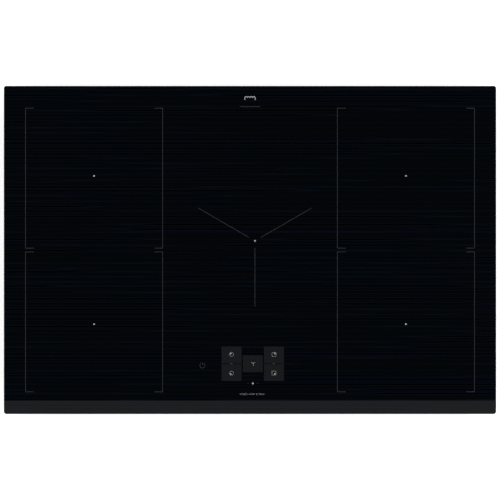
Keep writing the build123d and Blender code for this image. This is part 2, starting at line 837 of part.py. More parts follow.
with BuildPart() as housings:
    for hand in (-1, 1):
        with BuildSketch(Plane.XY.offset(fan_low)):
            add(scroll_outline(hand, 0))
        extrude(amount=fan_height - fan_wall)
    for hand in (-1, 1):
        with BuildSketch(Plane.XY.offset(fan_low + fan_wall)):
            add(scroll_outline(hand, fan_wall))
        extrude(amount=fan_height, mode=Mode.SUBTRACT)
        with BuildSketch(Plane.XY.offset(fan_low)):
            with Locations((hand * fan_x, fan_y)):
                Circle(impeller_eye)
        extrude(amount=fan_wall, mode=Mode.SUBTRACT)
        # the throat is open at its end
        with BuildSketch(Plane.XY.offset(fan_low + fan_wall)):
            with Locations((hand * outlet_x, outlet_y)):
                Rectangle(heatsink_width - 2 * fan_wall, 4 * fan_wall)
        extrude(amount=fan_height, mode=Mode.SUBTRACT)
housings.part.label = "fan_housings"
export_step(housings.part, "parts/fan_housings.step")

bush_radius = shaft_radius + bearing_clearance + bush_wall
boss_radius = bush_radius + boss_wall
bush_length = fan_cover_low - wheel_low - 2 * hub_skin - bush_hub_gap
with BuildPart() as covers:
    for hand in (-1, 1):
        with BuildSketch(Plane.XY.offset(fan_cover_low)):
            add(scroll_outline(hand, 0))
        extrude(amount=fan_wall)
        with BuildSketch(Plane.XY.offset(fan_cover_low)):
            with Locations((hand * fan_x, fan_y)):
                Circle(boss_radius)
        extrude(amount=-bush_length)
    with BuildSketch(Plane.XY.offset(fan_cover_low - bush_length)):
        with Locations(*[(hand * fan_x, fan_y) for hand in (-1, 1)]):
            Circle(bush_radius)
    extrude(amount=bush_length, mode=Mode.SUBTRACT)
covers.part.label = "fan_covers"
export_step(covers.part, "parts/fan_covers.step")

with BuildPart() as bushes:
    with BuildSketch(Plane.XY.offset(fan_cover_low - bush_length)):
        with Locations(*[(hand * fan_x, fan_y) for hand in (-1, 1)]):
            Circle(bush_radius)
            Circle(shaft_radius + bearing_clearance, mode=Mode.SUBTRACT)
    extrude(amount=bush_length)
bushes.part.label = "fan_bushes"
export_step(bushes.part, "parts/fan_bushes.step")

with BuildPart() as stators:
    with BuildSketch(Plane.XY.offset(fan_cover_low - stator_gap - stator_height)):
        with Locations(*[(hand * fan_x, fan_y) for hand in (-1, 1)]):
            Circle(boss_radius + stator_ring)
            with PolarLocations((boss_radius + stator_radius) / 2, stator_teeth):
                Rectangle(stator_radius - boss_radius, tooth_width)
            with PolarLocations(stator_radius - shoe_thickness / 2, stator_teeth):
                RectangleRounded(shoe_thickness, shoe_length, shoe_corner)
            Circle(boss_radius, mode=Mode.SUBTRACT)
    extrude(amount=stator_height)
stators.part.label = "fan_stators"
export_step(stators.part, "parts/fan_stators.step")

for hand, name in ((-1, "left"), (1, "right")):
    middle = (hand * fan_x, fan_y)
    with BuildPart() as wheel:
        # back plate, hub cup round the motor, blades, and the ring that ties their ends
        with BuildSketch(Plane.XY.offset(wheel_low)):
            with Locations(middle):
                Circle(impeller_hub)
        extrude(amount=impeller_height)
        with BuildSketch(Plane.XY.offset(wheel_low + hub_skin)):
            with Locations(middle):
                Circle(impeller_hub - hub_skin)
        extrude(amount=impeller_height, mode=Mode.SUBTRACT)
        with BuildSketch(Plane.XY.offset(wheel_low)):
            with Locations(middle):
                Circle(impeller_hub)
                Circle(shaft_radius, mode=Mode.SUBTRACT)
        extrude(amount=hub_skin)
        with BuildSketch(Plane.XY.offset(wheel_low)):
            with Locations(middle):
                Circle(shaft_radius + shaft_boss)
                Circle(shaft_radius, mode=Mode.SUBTRACT)
        extrude(amount=2 * hub_skin)
        with BuildSketch(Plane.XY.offset(wheel_low)):
            with Locations(middle):
                Circle(shaft_radius)
        extrude(amount=hub_skin, mode=Mode.SUBTRACT)
        with BuildSketch(Plane.XY.offset(wheel_high - hub_skin)):
            with Locations(middle):
                Circle(impeller_radius)
                Circle(impeller_hub - hub_skin, mode=Mode.SUBTRACT)
        extrude(amount=hub_skin)
        with BuildSketch(Plane.XY.offset(wheel_low)):
            with Locations(middle):
                with PolarLocations((impeller_eye + impeller_radius) / 2, impeller_blades):
                    Rectangle(impeller_radius - impeller_eye, blade_thickness, rotation=hand * blade_lean)
        extrude(amount=impeller_height)
        with BuildSketch(Plane.XY.offset(wheel_low)):
            with Locations(middle):
                Circle(impeller_radius)
                Circle(impeller_radius - impeller_ring, mode=Mode.SUBTRACT)
        extrude(amount=hub_skin)
    wheel.part.label = f"fan_impeller_{name}"
    export_step(wheel.part, f"parts/fan_impeller_{name}.step")

    with BuildPart() as shaft:
        with BuildSketch(Plane.XY.offset(wheel_low)):
            with Locations(middle):
                Circle(shaft_radius)
        extrude(amount=fan_cover_low - shaft_end_gap - wheel_low)
    shaft.part.label = f"fan_shaft_{name}"
    export_step(shaft.part, f"parts/fan_shaft_{name}.step")

# ---- coil decks and the posts that carry them ----
# each coil's two leads pass through its deck beside the winding, on the side of its power board
round_turns = int((centre_zone_radius - round_margin - round_inner_radius) / winding_pitch)
round_radius = round_inner_radius + winding_pitch * round_turns + winding_width / 2
side_deck_width = 2 * (corner_half_x + deck_margin)
side_deck_depth = 2 * (zone_y + corner_half_y + deck_margin)
round_deck = 2 * (round_radius + deck_margin)
lead_out = former_lip + lead_radius + lead_side_gap  # from the winding's side to the lead's drop
lead_drops = []
for x, y in zone_centres:
    inward = -1 if x > 0 else 1
    start_x = x + inward * (corner_half_x + lead_start_gap)
    drop_x = start_x + inward * lead_out
    lead_drops += [(start_x, drop_x, y - lead_step), (start_x, drop_x, y + lead_step)]
start_x = centre_zone_x + round_radius + lead_start_gap
drop_x = start_x + lead_out
lead_drops += [(start_x, drop_x, centre_zone_y - lead_step), (start_x, drop_x, centre_zone_y + lead_step)]
deck_places = {
    "left": (-zone_x, 0, side_deck_width, side_deck_depth),
    "centre": (centre_zone_x, centre_zone_y, round_deck, round_deck),
    "right": (zone_x, 0, side_deck_width, side_deck_depth),
}
for name, (x, y, width, depth) in deck_places.items():
    holes = [(drop, hole_y) for _, drop, hole_y in lead_drops if abs(drop - x) < width / 2]
    with BuildPart() as deck:
        with BuildSketch(Plane.XY.offset(deck_low)):
            with Locations((x, y)):
                RectangleRounded(width, depth, deck_corner)
            with Locations(*holes):
                Circle(lead_radius + lead_hole_slack, mode=Mode.SUBTRACT)
        extrude(amount=deck_thickness)
    deck.part.label = f"coil_deck_{name}"
    export_step(deck.part, f"parts/coil_deck_{name}.step")

outer_post_x = tray_inner_x - board_outer_gap / 2
post_ys = (-post_far_y, 0, post_far_y)
post_spots = [(hand * x, y) for hand in (-1, 1) for x in (outer_post_x, inner_post_x) for y in post_ys]
for hand in (-1, 1):
    post_spots += [(centre_zone_x + hand * centre_post_x, centre_zone_y + y) for y in (-centre_post_y, 0)]
with BuildPart() as posts:
    with BuildSketch(Plane.XY.offset(floor_z)):
        with Locations(*post_spots):
            RegularPolygon(post_radius, 6)
    extrude(amount=deck_low - floor_z)
posts.part.label = "deck_posts"
export_step(posts.part, "parts/deck_posts.step")

# ---- litz windings: a flat spiral of straight runs and quarter turns ----


def spiral(turn_count, inner_radius, run_x, run_y):
    # the radius grows by a quarter pitch at every quarter turn
    with BuildLine() as path:
        point = Vector(-run_x / 2, -run_y / 2 - inner_radius, winding_low + winding_height / 2)
        heading = Vector(1, 0, 0)
        radius = inner_radius
        for quarter in range(4 * turn_count):
            run = run_x if quarter % 2 == 0 else run_y
            if run > 0:
                straight = Line(point, point + heading * run)
                point = straight @ 1
            radius += winding_pitch / 4
            bend = JernArc(point, heading, radius, 90)
            point = bend @ 1
            heading = bend % 1
    return path.line


def wind(path):
    with BuildPart() as winding:
        with BuildSketch(Plane(origin=path @ 0, x_dir=(0, 0, 1), z_dir=path % 0)):
            Rectangle(winding_height, winding_width)
        sweep(path=path)
    return winding.part


corner_winding = wind(spiral(corner_turns, corner_inner_radius, corner_run_x, corner_run_y))
with BuildPart() as corner_coils:
    for x, y in zone_centres:
        # the winding ends on the side of its leads, so the left zones take a mirrored one
        handed = corner_winding if x > 0 else mirror(corner_winding, about=Plane.YZ, mode=Mode.PRIVATE)
        add(handed.moved(Location((x, y, 0))))
corner_coils.part.label = "corner_coils"
export_step(corner_coils.part, "parts/corner_coils.step")

round_winding = wind(spiral(round_turns, round_inner_radius, 0, 0))
with BuildPart() as centre_coil:
    add(round_winding.moved(Location((centre_zone_x, centre_zone_y, 0), (0, 0, 180))))
centre_coil.part.label = "centre_coil"
export_step(centre_coil.part, "parts/centre_coil.step")


def sheets(level, thickness, lip):
    # one sheet in the outline of each coil, with a hole for its sensor
    with BuildPart() as stack:
        with BuildSketch(Plane.XY.offset(level)):
            with Locations(*zone_centres):
                RectangleRounded(2 * (corner_half_x + lip), 2 * (corner_half_y + lip), corner_bend + lip)
            with Locations((centre_zone_x, centre_zone_y)):
                Circle(round_radius + lip)
            with Locations(*sensor_places):
                Circle(sensor_hole, mode=Mode.SUBTRACT)
        extrude(amount=thickness)
    return stack


formers = sheets(former_low, former_thickness, former_lip)
formers.part.label = "coil_formers"
export_step(formers.part, "parts/coil_formers.step")

mica = sheets(winding_top, mica_thickness, former_lip)
mica.part.label = "mica_sheets"
export_step(mica.part, "parts/mica_sheets.step")

with BuildPart() as ferrites:
    with BuildSketch(Plane.XY.offset(deck_top)):
        for x, y in sensor_places:
            with Locations((x, y)):
                with PolarLocations(sensor_hole + ferrite_start + ferrite_length / 2, ferrite_count):
                    Rectangle(ferrite_length, ferrite_width)
    extrude(amount=ferrite_height)
ferrites.part.label = "ferrite_bars"
export_step(ferrites.part, "parts/ferrite_bars.step")

with BuildPart() as sensors:
    with BuildSketch(Plane.XY.offset(deck_top)):
        with Locations(*sensor_places):
            Circle(sensor_radius)
    extrude(amount=glass_low - deck_top)
sensors.part.label = "temperature_sensors"
export_step(sensors.part, "parts/temperature_sensors.step")

# ---- coil leads: two sleeved leads from each coil, over the former's edge, down to its board ----
winding_middle = winding_low + winding_height / 2
with BuildPart() as leads:
    for start_x, drop_x, y in lead_drops:
        landing_x = (board_inner_x + lead_landing) * (1 if start_x > 0 else -1)
        with BuildLine() as route:
            FilletPolyline(
                (start_x, y, winding_middle),
                (drop_x, y, winding_middle),
                (drop_x, y, deck_low - lead_sag),
                (landing_x, y, board_top + lead_sag),
                (landing_x, y, board_top),
                radius=lead_bend,
            )
        with BuildSketch(Plane(origin=route.line @ 0, z_dir=route.line % 0)):
            Circle(lead_radius)
        sweep(path=route.line)
leads.part.label = "coil_leads"
export_step(leads.part, "parts/coil_leads.step")

# ---- controls: carrier, board, displays and touch springs under the keys ----
carrier_x = (carrier_left + carrier_right) / 2
carrier_width = carrier_right - carrier_left
inner_corner = carrier_corner - carrier_wall
carrier_low = glass_low - carrier_height
panel_low = carrier_low + panel_lift
panel_top = panel_low + board_thickness
key_spots = [(x, keys_y + hand * icon_lift) for x in (key_left_x, key_right_x) for hand in (-1, 1)]
key_spots += [(key_middle_x, keys_y), (power_x, keys_y)]

with BuildPart() as carrier:
    with BuildSketch(Plane.XY.offset(carrier_low)):
        with Locations((carrier_x, keys_y)):
            RectangleRounded(carrier_width, carrier_depth, carrier_corner)
    extrude(amount=carrier_height)
    with BuildSketch(Plane.XY.offset(carrier_low + carrier_wall)):
        with Locations((carrier_x, keys_y)):
            wall_inset = 2 * carrier_wall
            RectangleRounded(carrier_width - wall_inset, carrier_depth - wall_inset, inner_corner)
    extrude(amount=carrier_height, mode=Mode.SUBTRACT)
    with BuildSketch(Plane.XY.offset(floor_z)):
        with Locations((carrier_x, keys_y)):
            leg_inset = 2 * carrier_leg_inset
            with GridLocations(carrier_width - leg_inset, carrier_depth - leg_inset, 2, 2):
                Circle(carrier_leg_radius)
    extrude(amount=panel_low - floor_z)
carrier.part.label = "ui_carrier"
export_step(carrier.part, "parts/ui_carrier.step")

with BuildPart() as panel:
    with BuildSketch(Plane.XY.offset(panel_low)):
        with Locations((carrier_x, keys_y)):
            panel_inset = 2 * (carrier_wall + panel_slack)
            RectangleRounded(carrier_width - panel_inset, carrier_depth - panel_inset, inner_corner)
    extrude(amount=board_thickness)
panel.part.label = "ui_board"
export_step(panel.part, "parts/ui_board.step")

with BuildPart() as displays:
    with BuildSketch(Plane.XY.offset(panel_top)):
        with Locations(*[(x, keys_y) for x in (key_left_x, key_right_x)]):
            Rectangle(display_width, display_depth)
        with Locations((key_middle_x, keys_y - lamp_drop + display_lift)):
            Rectangle(2 * display_width, display_depth)
    extrude(amount=glass_low - display_gap - panel_top)
displays.part.label = "ui_displays"
export_step(displays.part, "parts/ui_displays.step")

touch_height = glass_low - panel_top - 2 * touch_wire
with BuildPart() as touches:
    for x, y in key_spots:
        start = panel_top + touch_wire
        with BuildLine() as coil_line:
            Helix(touch_height / touch_turns, touch_height, touch_coil_radius, center=(x, y, start))
        with BuildSketch(Plane(origin=coil_line.line @ 0, z_dir=coil_line.line % 0)):
            Circle(touch_wire)
        sweep(path=coil_line.line, is_frenet=True)
touches.part.label = "touch_springs"
export_step(touches.part, "parts/touch_springs.step")

# ---- mains terminal box: a moulding behind the rear wall, open to the back through the window ----
box_front = tray_inner_y - box_depth
box_floor = window_low + box_wall
axis_y = wall_y - cover_thickness / 2 - cover_flush
axis_z = window_low + box_wall + cover_slack + trunnion_radius + trunnion_rim
cover_left = window_left + box_wall + cover_slack
cover_right = window_right - box_wall - cover_slack
with BuildPart() as box:
    with Locations(((box_left + box_right) / 2, (box_front + tray_inner_y) / 2, (floor_z + box_top) / 2)):
        Box(box_right - box_left, box_depth, box_top - floor_z)
    # the lower rear edge clears the bend of the tray
    low_edges = box.edges().filter_by(Axis.X).group_by(Axis.Z)[0]
    chamfer(low_edges.sort_by(Axis.Y)[-1], tray_bend)
    # spigot that fills the window of the tray's wall
    with BuildSketch(Plane.XZ.offset(-tray_inner_y)):
        with Locations(((window_left + window_right) / 2, (window_low + window_high) / 2)):
            Rectangle(window_right - window_left, window_high - window_low)
    extrude(amount=-sheet)
    # chamber behind the cover, then the cable's chamber beside it
    with BuildSketch(Plane.XZ.offset(-box_front - box_wall)):
        with Locations(((window_left + window_right) / 2, (window_low + window_high) / 2)):
            Rectangle(window_right - window_left - 2 * box_wall, window_high - window_low - 2 * box_wall)
    extrude(amount=-box_depth, mode=Mode.SUBTRACT)
    with BuildSketch(Plane.XZ.offset(-box_front - box_wall)):
        with Locations(((window_left + box_right) / 2, (window_low + window_high) / 2)):
            Rectangle(box_right - window_left - 2 * box_wall, window_high - window_low - 2 * box_wall)
    extrude(amount=-(box_depth - 2 * box_wall), mode=Mode.SUBTRACT)
    with BuildSketch(Plane.XZ.offset(-tray_inner_y)):
        with Locations((gland_x, gland_z)):
            Circle(gland_neck + gland_slack)
    extrude(amount=2 * box_wall, mode=Mode.SUBTRACT)
    # pivot holes for the cover
    with BuildSketch(Plane.YZ.offset(window_left)):
        with Locations((axis_y, axis_z)):
            Circle(trunnion_radius + trunnion_clearance)
    extrude(amount=window_right - window_left, mode=Mode.SUBTRACT)
box.part.label = "terminal_box"
export_step(box.part, "parts/terminal_box.step")

cover_high = window_high - box_wall - cover_slack
with BuildPart() as cover:
    with BuildSketch(Plane.YZ.offset(cover_left)):
        with Locations((axis_y, axis_z)):
            Circle(trunnion_radius + trunnion_rim)
        with Locations((axis_y, (axis_z + cover_high) / 2)):
            Rectangle(cover_thickness, cover_high - axis_z)
    extrude(amount=cover_right - cover_left)
    with BuildSketch(Plane.YZ.offset(cover_left - cover_slack - trunnion_length)):
        with Locations((axis_y, axis_z)):
            Circle(trunnion_radius)
    extrude(amount=cover_right - cover_left + 2 * (cover_slack + trunnion_length))
    # finger recess along the upper edge
    with BuildSketch(Plane.XZ.offset(-axis_y - cover_thickness / 2)):
        with Locations(((cover_left + cover_right) / 2, cover_high)):
            SlotOverall(finger_width, finger_height)
    extrude(amount=finger_depth, mode=Mode.SUBTRACT)
cover.part.label = "terminal_cover"
export_step(cover.part, "parts/terminal_cover.step")

# ---- terminal block and its clamping screws ----
block_y = box_front + box_wall + block_depth / 2 + block_back_gap
block_height = window_high - box_wall - box_floor - block_headroom
clamp_height = (block_height - clamp_sink) / 2
pole_depth = clamp_height + clamp_sink
with BuildPart() as block:
    with BuildSketch(Plane.XY.offset(box_floor)):
        with Locations((0, block_y)):
            Rectangle(pole_count * pole_pitch, block_depth)
    extrude(amount=block_height)
    with BuildSketch(Plane.XY.offset(box_floor + block_height)):
        with Locations((0, block_y)):
            with GridLocations(pole_pitch, 0, pole_count, 1):
                Circle(pole_radius)
    extrude(amount=-pole_depth, mode=Mode.SUBTRACT)
    with BuildSketch(Plane.XZ.offset(-block_y - block_depth / 2)):
        with Locations((0, box_floor + pole_entry_rise)):
            with GridLocations(pole_pitch, 0, pole_count, 1):
                Circle(pole_entry)
    extrude(amount=pole_entry_depth, mode=Mode.SUBTRACT)
block.part.label = "terminal_block"
export_step(block.part, "parts/terminal_block.step")

with BuildPart() as clamp_screws:
    with BuildSketch(Plane.XY.offset(box_floor + block_height - pole_depth)):
        with Locations((0, block_y)):
            with GridLocations(pole_pitch, 0, pole_count, 1):
                Circle(pole_radius)
    extrude(amount=clamp_height)
    with BuildSketch(Plane.XY.offset(box_floor + block_height - pole_depth + clamp_height)):
        with Locations((0, block_y)):
            with GridLocations(pole_pitch, 0, pole_count, 1):
                Rectangle(clamp_width, clamp_slot)
    extrude(amount=-clamp_slot_depth, mode=Mode.SUBTRACT)
clamp_screws.part.label = "terminal_screws"
export_step(clamp_screws.part, "parts/terminal_screws.step")

# ---- cable gland in the rear wall ----
with BuildPart() as gland:
    with BuildSketch(Plane.XZ.offset(-wall_y)):
        with Locations((gland_x, gland_z)):
            Circle(gland_flange)
    extrude(amount=-gland_flange_thickness)
    with BuildSketch(Plane.XZ.offset(-wall_y)):
        with Locations((gland_x, gland_z)):
            Circle(gland_neck)
    extrude(amount=sheet + 2 * box_wall)
    with BuildSketch(Plane.XZ.offset(-wall_y - gland_flange_thickness)):
        with Locations((gland_x, gland_z)):
            Circle(gland_bore)
    extrude(amount=gland_flange_thickness + sheet + 2 * box_wall, mode=Mode.SUBTRACT)
gland.part.label = "cable_gland"
export_step(gland.part, "parts/cable_gland.step")
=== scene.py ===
import json
import math

import bmesh
import bpy
from mathutils import Euler, Matrix, Vector


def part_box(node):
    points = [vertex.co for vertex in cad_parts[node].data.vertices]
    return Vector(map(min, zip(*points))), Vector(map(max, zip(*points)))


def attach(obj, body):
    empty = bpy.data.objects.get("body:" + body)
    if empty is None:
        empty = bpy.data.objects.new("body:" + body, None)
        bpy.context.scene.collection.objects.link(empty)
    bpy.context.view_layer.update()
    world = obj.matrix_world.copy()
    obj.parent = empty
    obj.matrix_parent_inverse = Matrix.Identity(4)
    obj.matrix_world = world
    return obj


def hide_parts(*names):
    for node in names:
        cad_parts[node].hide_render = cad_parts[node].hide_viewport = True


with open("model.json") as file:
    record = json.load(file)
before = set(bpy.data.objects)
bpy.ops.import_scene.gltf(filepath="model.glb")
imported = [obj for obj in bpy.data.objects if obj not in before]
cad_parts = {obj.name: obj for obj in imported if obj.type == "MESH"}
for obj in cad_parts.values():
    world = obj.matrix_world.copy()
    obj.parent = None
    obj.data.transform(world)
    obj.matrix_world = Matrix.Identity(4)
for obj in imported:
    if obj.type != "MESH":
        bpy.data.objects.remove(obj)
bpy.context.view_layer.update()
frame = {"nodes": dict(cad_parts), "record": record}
slotOf = {entry["node"]: entry["material_slot"] for entry in frame["record"]["subparts"]}
mm = 0.001
print("frame loaded,", len(frame["nodes"]), "nodes")


# small helpers

def linear(hexColor):
    # sRGB hex to the linear values that Blender works in
    parts = [int(hexColor[k:k + 2], 16) / 255 for k in (1, 3, 5)]
    return [c / 12.92 if c <= 0.04045 else ((c + 0.055) / 1.055) ** 2.4 for c in parts] + [1.0]


def addNode(tree, kind, settings=None, values=None, links=None):
    made = tree.nodes.new(kind)
    for name, value in (settings or {}).items():
        setattr(made, name, value)
    for name, value in (values or {}).items():
        made.inputs[name].default_value = value
    for name, source in (links or {}).items():
        tree.links.new(source, made.inputs[name])
    return made


def boxOf(nodeName):
    # a CAD node's lowest and highest corners, in millimetres
    low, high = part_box(nodeName)
    return Vector(low) / mm, Vector(high) / mm


def startMaterial(name, roughness=0.5, metallic=0.0, ior=1.5):
    # an empty material with its shader, and Object coordinates in millimetres
    made = bpy.data.materials.new(name)
    made.use_nodes = True
    tree = made.node_tree
    tree.nodes.clear()
    values = {"Roughness": roughness, "Metallic": metallic, "IOR": ior}
    shader = addNode(tree, "ShaderNodeBsdfPrincipled", values=values)
    addNode(tree, "ShaderNodeOutputMaterial", links={"Surface": shader.outputs["BSDF"]})
    coords = addNode(tree, "ShaderNodeTexCoord")
    size = {"Scale": (1 / mm, 1 / mm, 1 / mm)}
    place = addNode(tree, "ShaderNodeMapping", values=size, links={"Vector": coords.outputs["Object"]})
    return made, tree, shader, place.outputs["Vector"]


def twoTone(tree, shader, factor, dark, light):
    # the shader's colour runs between two hex colours
    ramp = addNode(tree, "ShaderNodeValToRGB", links={"Fac": factor})
    ramp.color_ramp.elements[0].color = linear(dark)
    ramp.color_ramp.elements[1].color = linear(light)
    tree.links.new(ramp.outputs["Color"], shader.inputs["Base Color"])


def roughBetween(tree, shader, factor, low, high):
    values = {"To Min": low, "To Max": high}
    spread = addNode(tree, "ShaderNodeMapRange", values=values, links={"Value": factor})
    tree.links.new(spread.outputs["Result"], shader.inputs["Roughness"])


def emboss(tree, shader, height, depthMm):
    values = {"Strength": 1.0, "Distance": depthMm * mm}
    bump = addNode(tree, "ShaderNodeBump", values=values, links={"Height": height})
    tree.links.new(bump.outputs["Normal"], shader.inputs["Normal"])


# materials

blotchMm = 25.0   # size of the slow changes of tone over a grained surface


def grained(name, dark, light, roughness, grainMm, depthMm, metallic=0.0, ior=1.5, spread=0.08):
    # an even surface with a fine irregular grain, as of moulded plastic or sintered powder
    made, tree, shader, place = startMaterial(name, roughness, metallic, ior)
    values = {"Scale": 1 / grainMm, "Detail": 3.0}
    grain = addNode(tree, "ShaderNodeTexNoise", values=values, links={"Vector": place})
    values = {"Scale": 1 / blotchMm, "Detail": 2.0}
    blotch = addNode(tree, "ShaderNodeTexNoise", values=values, links={"Vector": place})
    twoTone(tree, shader, blotch.outputs["Fac"], dark, light)
    roughBetween(tree, shader, grain.outputs["Fac"], roughness - spread, roughness + spread)
    emboss(tree, shader, grain.outputs["Fac"], depthMm)
    return made


def brushed(name, dark, light, roughness, lineMm, depthMm, stretch=(0.02, 1.0, 1.0), metallic=1.0):
    # drawn or rolled metal: long fine lines in one direction
    made, tree, shader, place = startMaterial(name, roughness, metallic)
    lines = addNode(tree, "ShaderNodeMapping", values={"Scale": stretch}, links={"Vector": place})
    values = {"Scale": 1 / lineMm, "Detail": 4.0}
    noise = addNode(tree, "ShaderNodeTexNoise", values=values, links={"Vector": lines.outputs["Vector"]})
    twoTone(tree, shader, noise.outputs["Fac"], dark, light)
    roughBetween(tree, shader, noise.outputs["Fac"], roughness - 0.1, roughness + 0.1)
    emboss(tree, shader, noise.outputs["Fac"], depthMm)
    return made


glassLook = {
    "ior": 1.54,
    "linePitch": 8.5,      # mm, on average, between the faint hairlines
    "lineLength": 500.0,
    "patchDepth": 30.0,    # mm, the hairlines come in groups about this deep
    "patchShift": (3.0, 7.0, 0.0),
    "smearSize": 83.3,     # mm
    "base": "#030609",
    "hairline": "#000001",
    # the lighter band beside each hairline: a painted sheen, not the glass's own colour
    "paintedSheen": "#081019",
}


def makeGlassCeramic():
    # Black glass ceramic, fire-polished: almost no colour of its own but a trace of blue,
    # so it is seen by what it mirrors
    # Faint dark hairlines run across it in groups, each with a painted sheen along both sides, and wiping
    # leaves soft smears in the gloss
    made, tree, shader, place = startMaterial("blackGlassCeramic", 0.04, 0.0, glassLook["ior"])
    parts = addNode(tree, "ShaderNodeSeparateXYZ", links={"Vector": place})
    lines = addNode(
        tree, "ShaderNodeTexVoronoi", settings={"voronoi_dimensions": "1D", "feature": "DISTANCE_TO_EDGE"},
        values={"Scale": 1 / glassLook["linePitch"]}, links={"W": parts.outputs["Y"]}
    )
    patchScale = (1 / glassLook["lineLength"], 1 / glassLook["patchDepth"], 1.0)
    broad = {"Scale": patchScale, "Location": glassLook["patchShift"]}
    rows = addNode(tree, "ShaderNodeMapping", values=broad, links={"Vector": place})
    patch = addNode(
        tree, "ShaderNodeTexNoise", settings={"noise_dimensions": "2D"},
        values={"Scale": 1.0, "Detail": 2.0}, links={"Vector": rows.outputs["Vector"]}
    )
    faded = addNode(
        tree, "ShaderNodeMapRange", values={"From Min": 0.4, "From Max": 0.55, "To Min": 0.25, "To Max": 0.0},
        links={"Value": patch.outputs["Fac"]}
    )
    reach = addNode(
        tree, "ShaderNodeMath", settings={"operation": "ADD"},
        links={0: lines.outputs["Distance"], 1: faded.outputs["Result"]}
    )
    twoTone(tree, shader, reach.outputs["Value"], glassLook["hairline"], glassLook["base"])
    ramp = shader.inputs["Base Color"].links[0].from_node.color_ramp
    ramp.elements[1].position = 0.32
    ramp.elements.new(0.12).color = linear(glassLook["hairline"])
    # painted sheen: a lighter band of colour along both sides of each hairline
    ramp.elements.new(0.18).color = linear(glassLook["paintedSheen"])
    values = {"Scale": 1 / glassLook["smearSize"], "Detail": 5.0}
    smear = addNode(tree, "ShaderNodeTexNoise", values=values, links={"Vector": place})
    roughBetween(tree, shader, smear.outputs["Fac"], 0.02, 0.09)
    return made


def makeGalvanised():
    # Hot-dip galvanised sheet, skin-passed: small zinc crystals, each with its own grey and gloss
    made, tree, shader, place = startMaterial("galvanisedSheetSteel", 0.4, 1.0)
    spangle = addNode(tree, "ShaderNodeTexVoronoi", values={"Scale": 1 / 4.0}, links={"Vector": place})
    values = {"Scale": 0.35, "Detail": 4.0}
    noise = addNode(tree, "ShaderNodeTexNoise", values=values, links={"Vector": place})
    grey = addNode(tree, "ShaderNodeRGBToBW", links={"Color": spangle.outputs["Color"]})
    settings = {"operation": "MULTIPLY_ADD"}
    blend = addNode(tree, "ShaderNodeMath", settings=settings, links={0: grey.outputs["Val"]})
    blend.inputs[1].default_value = 0.35
    tree.links.new(noise.outputs["Fac"], blend.inputs[2])
    twoTone(tree, shader, blend.outputs["Value"], "#8d9194", "#a6aaad")
    roughBetween(tree, shader, blend.outputs["Value"], 0.34, 0.5)
    emboss(tree, shader, noise.outputs["Fac"], 0.008)
    return made


def makeCircuitBoard():
    # Glass-epoxy board under green solder mask: copper tracks stand up as slightly lighter runs
    made, tree, shader, place = startMaterial("greenCircuitBoard", 0.35, 0.0, 1.55)
    tracks = addNode(
        tree, "ShaderNodeTexBrick", settings={"offset": 0.37, "squash": 0.6},
        values={"Scale": 0.12, "Mortar Size": 0.05, "Mortar Smooth": 0.1, "Bias": 0.0},
        links={"Vector": place}
    )
    fine = addNode(tree, "ShaderNodeTexNoise", values={"Scale": 0.2, "Detail": 3.0}, links={"Vector": place})
    twoTone(tree, shader, tracks.outputs["Fac"], "#0d3d23", "#1c6a3c")
    roughBetween(tree, shader, fine.outputs["Fac"], 0.28, 0.42)
    emboss(tree, shader, tracks.outputs["Fac"], 0.05)
    return made


def makeLitz():
    # Litz: hundreds of enamelled copper hairs laid in a rope, seen as slanting lines along the wire
    made, tree, shader, place = startMaterial("enamelledLitzCopper", 0.38, 1.0)
    lay = addNode(
        tree, "ShaderNodeTexWave", settings={"wave_type": "BANDS", "bands_direction": "DIAGONAL"},
        values={"Scale": 0.35, "Distortion": 1.5, "Detail": 2.0}, links={"Vector": place}
    )
    twoTone(tree, shader, lay.outputs["Fac"], "#8a4322", "#d98b5b")
    emboss(tree, shader, lay.outputs["Fac"], 0.15)
    return made


def makeSleeve():
    # Glass-fibre sleeving, braided: a fine criss-cross
    made, tree, shader, place = startMaterial("braidedGlassSleeve", 0.7)
    braid = addNode(tree, "ShaderNodeTexChecker", values={"Scale": 1.6}, links={"Vector": place})
    twoTone(tree, shader, braid.outputs["Fac"], "#b9b39e", "#d8d3c2")
    emboss(tree, shader, braid.outputs["Fac"], 0.05)
    return made


